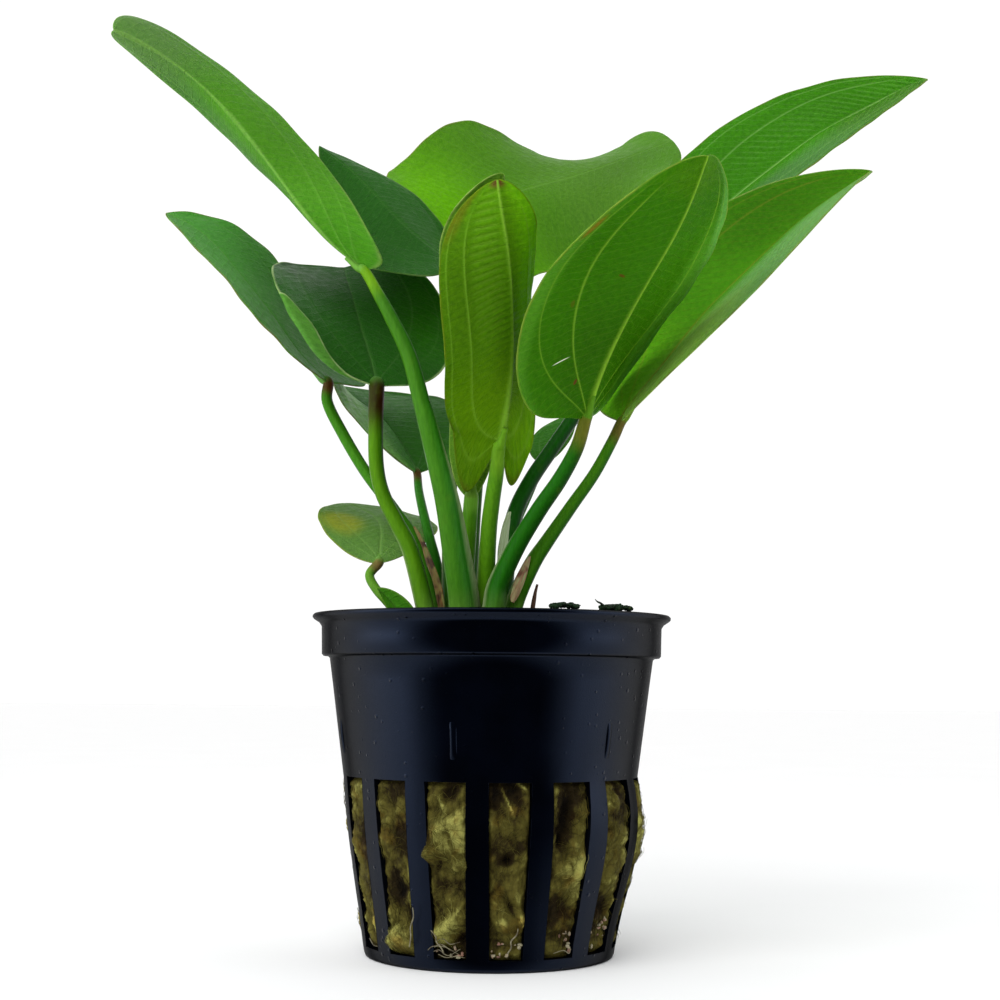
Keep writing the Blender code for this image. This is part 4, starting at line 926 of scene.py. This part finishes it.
def wool_surface(angle, height, lift=0.0):
    """Points on the wool's side, how pale it is there, with painted shade in its hollows and creases, and how
    open the slot is.
    """
    radius = wall_radius(height)
    half_slot = BAR_STEP / 2 - np.degrees(BAR_WIDTH / 2 / radius)
    from_middle = (angle - FIRST_SLOT + BAR_STEP / 2) % BAR_STEP - BAR_STEP / 2
    inside = 1 - smooth(np.abs(from_middle) / half_slot, 0.88, 1.12)
    ends = smooth(height, SLOT_BOTTOM - 0.2, SLOT_BOTTOM + 1.0)
    ends = ends * (1 - smooth(height, SLOT_TOP - 1.0, SLOT_TOP + 0.1))
    openness = inside * ends
    bulge = -1.45 + 0.95 * openness
    pale = 0.45 * ripple(angle * 0.22, height * 0.5, 1.3)
    for middle, level, long, wide, lean, rise, light in WOOL_FORMS:
        arc = np.radians((angle - middle + 180) % 360 - 180) * radius
        c, s = cos(radians(lean)), sin(radians(lean))
        lengthwise, sideways = (height - level) * c + arc * s, arc * c - (height - level) * s
        form = np.exp(-((lengthwise / long) ** 2 + (sideways / wide) ** 2) * 1.3)
        bulge = bulge + rise * form * ends * (1 if rise > LOOSE_RISE else inside)
        pale = pale + light * form
    rough = matted(around(radius, angle, height))
    bulge = bulge + rough * (0.35 + 0.65 * openness)
    bulge = np.where(openness < 0.03, np.minimum(bulge, -1.25), bulge)
    points = around(radius + bulge + bow(angle, height) + lift, angle, height)
    # Lower, creased wool is darker: partly painted shade.
    return points, pale + rough * 0.9 + 0.12, openness


def wool_piece(finish):
    """The plug of rock wool: its side, which swells into the slots, its rough top and its bottom."""
    columns = 480
    angles = np.arange(columns) * 360 / columns - 180
    heights = [FLOOR_THICKNESS + 0.3, *np.linspace(SLOT_BOTTOM + 0.1, SLOT_TOP + 0.3, 104), 32.0, 38.0, 42.5]
    side, side_pale, _ = wool_surface(*np.meshgrid(angles, heights))
    angle, radius = np.meshgrid(angles, np.linspace(23.0, 1.0, 40))
    rough = matted(around(radius, angle, 0.0))
    top = around(radius, angle, WOOL_TOP - 0.1 + 1.1 * rough - 0.5 * smooth(radius, 21.0, 23.2))
    points = np.concatenate([side, top])
    # The top's paleness follows its lumps, so its lows are darker: partly painted shade.
    return make_mesh("wool_plug", points, tube_faces(len(points), columns), finish, "rock_wool", "rock_wool",
                     [("pale", np.concatenate([side_pale, 1.2 * rough]))])


def wool_material(name, hair_contrast):
    """Damp mineral wool: pale yellow-green where it is clean and brown in its hollows, partly stain and
    partly painted shade, with matted fibres.
    """
    graph = Graph(name, 0.7, 0.05)
    place = graph.place()
    hairs = graph.noise(graph.place(1.0, 1.0, 0.45), 2.2, 6.0, 0.7)
    clots = graph.noise(place, 0.7, 4.0, 0.6)
    level = graph.math("ADD", graph.math("SUBTRACT", clots, 0.5), graph.attribute("pale"))
    level = graph.math("MULTIPLY_ADD", graph.math("SUBTRACT", hairs, 0.5), hair_contrast, level)
    # Low levels, in the hollows and creases, go dark brown: partly stain, partly painted shade.
    body = graph.mix(graph.ramp(level, -1.2, -0.35), paint(12, 8, 4), paint(38, 30, 12))
    body = graph.over(body, level, -0.4, 0.4, 1.0, (88, 82, 34))
    body = graph.over(body, level, 0.35, 1.3, 1.0, (172, 170, 90))
    stain = graph.ramp(graph.noise(place, 0.28, 2.0), 0.52, 0.68, 0.0, 0.55)
    body = graph.mix(stain, body, graph.mix(1.0, body, (1.0, 0.68, 0.45), "MULTIPLY"))
    return graph.done(body, (hairs, 0.3), (clots, 0.3))


def hairs_piece(name, paths, radius, finish, pale):
    """Many thin three-sided hairs in one mesh. paths is an array of hairs, points and coordinates."""
    count = paths.shape[1]
    ahead = unit(np.gradient(paths, axis=1))
    guide = unit(np.cross(ahead, (0.31, 0.52, 0.79)))
    other = np.cross(ahead, guide)
    taper = radius * np.sqrt(np.clip(1 - 0.9 * np.linspace(-1, 1, count) ** 2, 0.05, 1))[:, None]
    rings = [paths + (guide * cos(turn) + other * sin(turn)) * taper for turn in (0, 2 * pi / 3, 4 * pi / 3)]
    hair = tube_faces(count, 3)
    faces = [tuple(first + corner for corner in face) for first in range(0, len(paths) * count * 3, count * 3)
             for face in hair]
    return make_mesh(name, np.stack(rings, 2), faces, finish, "rock_wool", None,
                     [("pale", np.repeat(pale, count * 3))])


def side_hairs(finish):
    """Loose hairs on the wool: short curved strands that lie along its face and stick out a little."""
    draw = np.random.default_rng(11)
    count, stride = 2200, 0.42
    slots = draw.integers(0, BAR_COUNT, count)
    front = draw.random(count) < 0.45
    slots = np.where(front, draw.choice([13, 14, 0, 1, 2, 3], count), slots)
    angle = FIRST_SLOT + slots * BAR_STEP + draw.uniform(-8.2, 8.2, count)
    height = draw.uniform(SLOT_BOTTOM + 0.8, SLOT_TOP - 0.8, count)
    lean = draw.normal(0.0, 0.75, count) + 0.5 * np.sin(angle * 0.3 + height * 0.4)
    curl = draw.normal(0.0, 0.28, count)
    lift = draw.uniform(0.0, 0.22, count)
    rise = np.where(draw.random(count) < 0.03, 0.09, 0.02)
    path = []
    for _ in range(HAIR_STEPS):
        path.append((angle, height, lift))
        height = np.clip(height + np.cos(lean) * stride, SLOT_BOTTOM + 0.3, SLOT_TOP - 0.3)
        angle = angle + np.degrees(np.sin(lean) * stride / HAIR_RADIUS)
        lean = lean + curl
        lift = lift + rise
    points, pale, openness = wool_surface(*np.transpose(path, (1, 2, 0)))
    keep = openness.min(1) > 0.05
    pale = pale.mean(1) + draw.normal(0, 0.2, count)
    hairs_piece("wool_hairs", points[keep], 0.032, finish, pale[keep])


def tuft_hairs(finish):
    """Hairs of the tufts that lie over the bars, and a few that hang free of them."""
    draw = np.random.default_rng(5)
    stride = 0.4
    paths, shades = [], []
    for middle, level, long, wide, lean, rise, _ in WOOL_FORMS:
        for _ in range(int(10 + 6 * long * wide) if rise > LOOSE_RISE else 0):
            lengthwise, sideways = draw.uniform(-1.05, 1.05, 2)
            if lengthwise ** 2 + sideways ** 2 > 1.15:
                continue
            c, s = cos(radians(lean)), sin(radians(lean))
            height = level + lengthwise * long * c - sideways * wide * s
            angle = middle + degrees((lengthwise * long * s + sideways * wide * c) / HAIR_RADIUS)
            turn = draw.normal(radians(lean), 0.8)
            path = []
            for _ in range(HAIR_STEPS):
                path.append((angle, min(max(height, SLOT_BOTTOM + 0.2), SLOT_TOP - 0.2)))
                height += cos(turn) * stride
                angle += degrees(sin(turn) * stride / HAIR_RADIUS)
                turn += draw.normal(0.0, 0.35)
            lift = draw.uniform(0.0, 0.3) + np.arange(HAIR_STEPS) * draw.uniform(0.0, 0.07)
            paths.append((*np.transpose(path), lift))
            shades.append(draw.normal(0.0, 0.2))
    points, pale, _ = wool_surface(*np.transpose(paths, (1, 0, 2)))
    hairs_piece("tuft_hairs", points, 0.036, finish, pale.mean(1) + shades)


def top_hairs(finish):
    """Hairs on the top of the wool inside the pot."""
    draw = np.random.default_rng(8)
    paths, shades = [], []
    for _ in range(1500):
        radius = 22.6 * sqrt(draw.random())
        turn = draw.uniform(0, 2 * pi)
        x, y = radius * cos(turn), radius * sin(turn)
        way = draw.uniform(0, 2 * pi)
        height = WOOL_TOP + draw.uniform(-0.1, 0.7)
        path = []
        for _ in range(HAIR_STEPS):
            path.append((x, y, height))
            x += cos(way) * 0.5
            y += sin(way) * 0.5
            if x * x + y * y > 23.0 ** 2:
                x, y = x * 0.96, y * 0.96
            way += draw.normal(0, 0.35)
            height += draw.normal(0.0, 0.06)
        paths.append(path)
        shades.append(draw.normal(0.2, 0.5))
    hairs_piece("top_hairs", np.array(paths), 0.06, finish, shades)


def lump(centre, size, seed, detail, rough):
    """Points and faces of a small uneven lump."""
    shape = bmesh.new()
    bmesh.ops.create_icosphere(shape, subdivisions=detail, radius=1.0)
    points = []
    for corner in shape.verts:
        push = 1 + rough * noise.fractal(corner.co * 1.4 + Vector((seed, seed * 0.7, 0)), 0.8, 2.1, 4)
        points.append(centre + np.array(corner.co) * push * size)
    faces = [tuple(corner.index for corner in face.verts) for face in shape.faces]
    shape.free()
    return points, faces


def grit_piece(finish):
    """Pale grains and flakes that lie in the bottoms of the slots."""
    draw = random.Random(4)
    parts = []
    spots = [(31.4, 2.6, 5.6, 26), (55.4, 2.6, 7.4, 18), (7.4, 2.2, 4.4, 16), (-16.6, 2.2, 3.6, 6)]
    spots += [(FIRST_SLOT + BAR_STEP * slot, 2.2, 4.0, 7) for slot in (4, 5, 6, 8, 9, 10, 11)]
    for middle, low, high, count in spots:
        for _ in range(count):
            height = draw.uniform(low, high)
            angle = middle + draw.uniform(-6.4, 6.4)
            proud = draw.uniform(-1.1, -0.35)
            centre = around(wall_radius(height) + bow(angle, height) + proud, angle, height)
            size = [draw.uniform(0.14, 0.42) for _ in range(3)]
            parts.append(lump(centre, size, draw.uniform(0, 50), 1, 0.5))
    piece = make_mesh("grit", *joined(parts), finish, "rock_wool")
    piece.data.shade_flat()


def tube_piece(name, points, radii, finish, slot, replaced=None, sides=12, wobble=0.1):
    """A smooth tube through the points, with an uneven surface."""
    route = np.concatenate([curve(points, 8), [points[-1]]])
    run = np.linspace(0, 1, len(route))
    angles = np.arange(sides) * 2 * pi / sides
    shape = 1 + wobble * ripple(run[:, None] * 9, angles, 2.0)
    rings, _ = tube_points(route, along(radii, run), angles, shape)
    return make_mesh(name, rings, tube_faces(len(route), sides), finish, slot, replaced)


# Root loops in the slots, each by the angles and heights of four points
ROOT_LOOPS = [
    ((-24, 3.4), (-20, 4.0), (-16, 3.3), (-13, 2.7)), ((-25, 2.7), (-21, 3.2), (-17, 2.5), (-12, 3.4)),
    ((-23, 4.2), (-19, 4.8), (-16, 4.1), (-12, 4.4)), ((-22, 2.5), (-18, 2.2), (-14, 2.4), (-10, 2.2)),
    ((-28, 2.6), (-24, 3.6), (-19, 3.7), (-15, 3.1)), ((29, 2.6), (33, 3.0), (36, 2.5), (38, 3.0)),
    ((-66, 2.8), (-63, 3.4), (-60, 2.6), (-58, 2.4)),
]


def root_pieces(finish):
    """The thin root threads at the bottoms of the slots: three long ones and a few loops beside them."""
    for number, (angle, low, high, lean) in enumerate(
            ((-33.5, 3.4, 9.0, 3.0), (-18.0, 2.8, 6.0, -5.0), (7.5, 3.0, 6.5, 4.0)), 1):
        step = np.arange(5)
        height = low + (high - low) * step / 4
        route = around(wall_radius(height) + 1.0 + 0.12 * np.sin(2.1 * step),
                       angle + lean * step / 4 + 0.6 * np.sin(2.4 * step), height)
        tube_piece(f"root_thread_{number}", route, (0.1, 0.1, 0.06), finish, "root", f"root_{number}")
    for number, loop in enumerate(ROOT_LOOPS, 1):
        angle, height = np.transpose(loop)
        route = around(wall_radius(height) - np.array([0.25, -0.25, -0.25, 0.25]), angle, height)
        tube_piece(f"root_loop_{number}", route, (0.05, 0.065, 0.035), finish, "root", sides=8)


def crown_piece(finish, rings=26, columns=96):
    """The short stem base: a low dome with a collar of leaf bases round each stalk's foot."""
    turn, share = np.meshgrid(np.arange(columns) * 2 * pi / columns, np.linspace(0, 1, rings))
    radius = CROWN_RADIUS * (1 - share ** 1.15 * 0.97)
    x, y = CROWN_CENTRE[0] + radius * np.cos(turn), CROWN_CENTRE[1] + radius * np.sin(turn)
    height = WOOL_TOP + 0.05 + (CROWN_TOP - WOOL_TOP) * np.minimum(1.0, share * 5.0) ** 0.6
    for leaf in LEAVES:
        foot_x, foot_y = stalk_foot(leaf)
        far = np.hypot(x - foot_x, y - foot_y) / (leaf.girth[0] * 1.9)
        height = height + 0.9 * np.maximum(0.0, 1 - far ** 2)
    bumps = [noise.fractal(Vector(spot) * 0.8, 0.9, 2.1, 3) for spot in zip(x.flat, y.flat, np.zeros(x.size))]
    dome = np.stack([x, y, height + 0.12 * np.reshape(bumps, x.shape)], -1)
    bottom = np.stack([x[0], y[0], np.full(columns, WOOL_TOP - 0.6)], -1)
    points = np.concatenate([bottom[None], dome])
    return make_mesh("crown_dome", points, tube_faces(rings + 1, columns), finish, "crown_tissue", "crown")


def algae_pieces(finish):
    """Two dark clumps on the rim, each a cluster of small lumps, and a thread."""
    draw = random.Random(9)
    base, middle = RIM_TOP + 0.25, 25.4
    for name, angle, wide, high, count in (("algae_left", 24.0, 1.9, 0.75, 16),
                                           ("algae_right", 44.5, 2.5, 0.7, 22)):
        parts = []
        for _ in range(count):
            place = draw.uniform(-1, 1)
            rise = high * (1 - 0.6 * place ** 2)
            centre = around(middle + draw.uniform(-0.7, 0.7), angle + degrees(place * wide / middle),
                            base + draw.uniform(0.25, 0.9) * rise)
            size = [draw.uniform(0.35, 0.75), draw.uniform(0.3, 0.6), draw.uniform(0.22, 0.45)]
            parts.append(lump(centre, size, draw.uniform(0, 60), 3, 0.45))
        make_mesh(name + "_clump", *joined(parts), finish, "algae", name)
    thread = around(np.array([25.6, 25.6, 25.5, 25.4]), np.array([38.5, 37.4, 36.2, 35.4]),
                    base + np.array([0.5, 0.8, 1.0, 1.35]))
    tube_piece("algae_thread", thread, (0.2, 0.14, 0.05), finish, "algae", sides=8, wobble=0.15)


def grit_material():
    graph = Graph("pale_grit", 0.6)
    place = graph.place()
    body = graph.mix(graph.ramp(graph.noise(place, 0.9, 2.0), 0.4, 0.6), paint(158, 152, 122),
                     paint(136, 98, 80))
    body = graph.over(body, graph.noise(place, 4.0, 2.0), 0.45, 0.7, 0.6, (80, 70, 45))
    return graph.done(body, (graph.noise(place, 6.0, 2.0), 0.08))


def root_material():
    graph = Graph("root_tissue", 0.45)
    place = graph.place()
    body = graph.mix(graph.ramp(graph.noise(place, 1.2), 0.4, 0.65), paint(122, 116, 88), paint(70, 60, 38))
    return graph.done(body, (graph.noise(place, 5.0), 0.06))


def algae_material():
    graph = Graph("algae_look", 0.6, 0.08)
    place = graph.place()
    clots = graph.noise(place, 1.1, 5.0, 0.65)
    body = graph.mix(graph.ramp(clots, 0.35, 0.65), paint(10, 20, 10), paint(30, 54, 30))
    body = graph.over(body, graph.noise(place, 2.4, 2.0), 0.62, 0.72, 1.0, (70, 84, 44))
    return graph.done(body, (clots, 0.3), (graph.noise(place, 6.0), 0.08))


def crown_material():
    """Pale stem tissue with streaks, stained brown toward the wool."""
    graph = Graph("crown_tissue_look", 0.5, 0.15)
    place = graph.place()
    streak = graph.noise(graph.place(1.0, 1.0, 0.3), 1.4, 4.0)
    body = graph.mix(graph.ramp(streak, 0.35, 0.65), paint(96, 128, 42), paint(150, 172, 92))
    body = graph.over(body, graph.noise(place, 0.5), 0.5, 0.65, 0.75, (84, 66, 30))
    height = graph.add("ShaderNodeSeparateXYZ", {0: place}).outputs[2]
    height = graph.math("MULTIPLY_ADD", graph.noise(place, 0.6), 2.4, height)
    stain = graph.ramp(height, WOOL_TOP + 1.0, CROWN_TOP + 1.2, 0.9, 0.0)
    return graph.done(graph.mix(stain, body, paint(76, 62, 30)), (streak, 0.35),
                      (graph.noise(place, 3.0), 0.12))


def film_material(name, pale, streaked, dark, brown_from):
    """Dried or thin sheath tissue: a pale skin with lengthwise streaks and brown parts."""
    graph = Graph(name, 0.55, 0.2)
    place = graph.attribute("place", "Vector")
    lines = graph.noise(graph.vector("MULTIPLY", place, (3.2, 0.35, 1.0)), 1.0, 4.0, 0.65)
    body = graph.mix(graph.ramp(lines, 0.35, 0.65), paint(*pale), paint(*streaked))
    body = graph.over(body, graph.noise(place, 0.33, 2.0), brown_from, brown_from + 0.12, 1.0, dark)
    body = graph.mix(graph.math("MULTIPLY", graph.attribute("vein"), 0.5), body, paint(*streaked))
    return graph.done(body, (lines, 0.12))


def add_light(name, kind, place, target, power, **settings):
    lamp = bpy.data.lights.new(name, kind)
    lamp.energy = power
    for key, value in settings.items():
        setattr(lamp, key, value)
    holder = bpy.data.objects.new(name, lamp)
    holder.location = place
    holder.rotation_euler = (Vector(target) - Vector(place)).to_track_quat("-Z", "Y").to_euler()
    bpy.context.scene.collection.objects.link(holder)


def stage_and_lights():
    """A pale floor in a studio that is bright behind the plant, a soft key light and two side lights."""
    bpy.ops.mesh.primitive_plane_add(size=8.0, location=(0, 0, 0))
    floor = bpy.context.object
    floor.name = "floor"
    graph = Graph("pale_floor", 0.8, 0.1)
    body = graph.mix(graph.noise(graph.place(), 0.02), (0.87, 0.87, 0.87), (0.9, 0.9, 0.9))
    floor.data.materials.append(graph.done(body))
    world = bpy.data.worlds.new("studio")
    bpy.context.scene.world = world
    world.use_nodes = True
    nodes, links = world.node_tree.nodes, world.node_tree.links
    direction = nodes.new("ShaderNodeTexCoord").outputs["Generated"]
    parts = nodes.new("ShaderNodeSeparateXYZ")
    links.new(direction, parts.inputs[0])
    spread = nodes.new("ShaderNodeMapRange")
    spread.interpolation_type = "SMOOTHSTEP"
    for name, value in (("From Min", -0.5), ("From Max", 0.6), ("To Min", 0.38), ("To Max", 1.05)):
        spread.inputs[name].default_value = value
    links.new(parts.outputs["Y"], spread.inputs["Value"])
    links.new(spread.outputs[0], nodes["Background"].inputs["Strength"])
    nodes["Background"].inputs["Color"].default_value = (1.0, 1.0, 1.0, 1.0)
    add_light("key", "SUN", (-0.35, -0.85, 0.65), (0, 0, 0), 2.3, angle=radians(60))
    for name, side, power in (("side_left", -1, 0.6), ("side_right", 1, 0.4)):
        add_light(name, "AREA", (0.33 * side, -0.1, 0.12), (0, 0, 0.03), power, shape="RECTANGLE", size=0.26,
                  size_y=0.3, color=(0.92, 0.96, 1.0))


def photo_camera():
    """The camera where the photograph's was: 265 mm in front, a little below the pot's rim, tilted up."""
    distance, height, side = 0.265, 0.0395, 0.00106
    tilt, turn = radians(6.35), radians(0.5)
    focal_pixels, picture_pixels = 1715.0, 1000.0
    camera = bpy.data.cameras.new("camera")
    camera.sensor_width = 36.0
    camera.lens = camera.sensor_width * focal_pixels / picture_pixels
    camera.clip_start = 0.01
    holder = bpy.data.objects.new("camera", camera)
    right, ahead = Vector((1, 0, 0)), Vector((0, cos(tilt), sin(tilt)))
    up = right.cross(ahead)
    level = right * cos(turn) + up * sin(turn)
    upright = up * cos(turn) - right * sin(turn)
    axes = Matrix((level, upright, -ahead)).transposed().to_4x4()
    holder.matrix_world = Matrix.Translation((side, -distance, height)) @ axes
    bpy.context.scene.collection.objects.link(holder)
    bpy.context.scene.camera = holder


def build_leaves():
    stalks = stalk_material()
    for leaf in LEAVES:
        small = leaf.length < 15
        rows = 240 if leaf.ladder else 46 if small else 140
        blade_piece(leaf, "blade_" + leaf.name, blade_material(leaf, "leaf_look_" + leaf.name), "leaf",
                    "leaf_" + leaf.name, rows, 2 if small else 1)
        stalk_piece(leaf, stalks)
    bract = Leaf("20", (-11.8, -3.4, 47.9), 9.4, 4.4, (172, 166, 160), (62, 50, 38), (55, 60, 60), (0.5, 0.8),
                 fold=(10, 10), cup=(6, 6), girth=(0.6, 0.6, 0.5), upper=(60, 118, 22), under=(58, 122, 20),
                 vein=(50, 95, 20), edge=(90, 130, 40), quilt=0.02, ruffle=0.05)
    fresh = blade_material(bract, "leaf_look_bract")
    blade_piece(bract, "bract_look", fresh, "leaf", "bract", 46, 2, 0.6, 0.3)
    tan = Leaf("21", (-7.3, -2.6, 48.2), 17.5, 2.6, (150, 150, 160), (84, 70, 66), (40, 50, 50), (0.35, 0.7),
               fold=(12, 12), cup=(8, 8), girth=(0.3, 0.3, 0.25), quilt=0.1, ruffle=0.12)
    clear = Leaf("22", (1.3, -4.2, 56.6), 10.4, 2.4, (60, 40, 40), (82, 80, 80), (-70, -70, -60), (0.4, 0.5),
                 fold=(10, 10), cup=(10, 10), girth=(0.3, 0.3, 0.25), quilt=0.06, ruffle=0.15)
    pink = Leaf("23", (3.0, -6.4, 52.8), 7.5, 1.6, (11, 11, 11), (69, 69, 69), (-70, -70, -60), (0.4, 0.6),
                fold=(8, 8), cup=(8, 8), girth=(0.2, 0.2, 0.2), quilt=0.04, ruffle=0.1)
    films = ((tan, "tan", "dry_tissue", (116, 124, 62), (132, 96, 52), (60, 34, 18), 0.44),
             (clear, "pale", "pale_tissue", (150, 172, 120), (175, 190, 150), (110, 88, 55), 0.6),
             (pink, "pink", "pale_tissue", (146, 158, 104), (146, 104, 76), (104, 62, 44), 0.5))
    for sheath, name, slot, *look in films:
        film = film_material(name + "_film", *look)
        blade_piece(sheath, f"sheath_{name}_look", film, slot, "sheath_" + name, 46, 2, 0.5, 0.25)


build_leaves()
pot_piece(pot_material())
wool_piece(wool_material("wool_look", 1.0))
hair_look = wool_material("wool_hair_look", 0.4)
for add_hairs in (side_hairs, tuft_hairs, top_hairs):
    add_hairs(hair_look)
grit_piece(grit_material())
root_pieces(root_material())
crown_piece(crown_material())
tube_piece("dead_stalk_look", [(6.4, -0.6, 47.6), (6.2, -1.4, 51.5), (6.5, -1.8, 54.0), (6.9, -2.0, 55.8)],
           (0.45, 0.35, 0.18),
           film_material("dead_stalk_film", (96, 66, 48), (60, 40, 28), (40, 24, 16), 0.5),
           "dry_tissue", "dead_stalk", wobble=0.22)
algae_pieces(algae_material())
stage_and_lights()
photo_camera()
bpy.context.scene.view_settings.view_transform = "Standard"
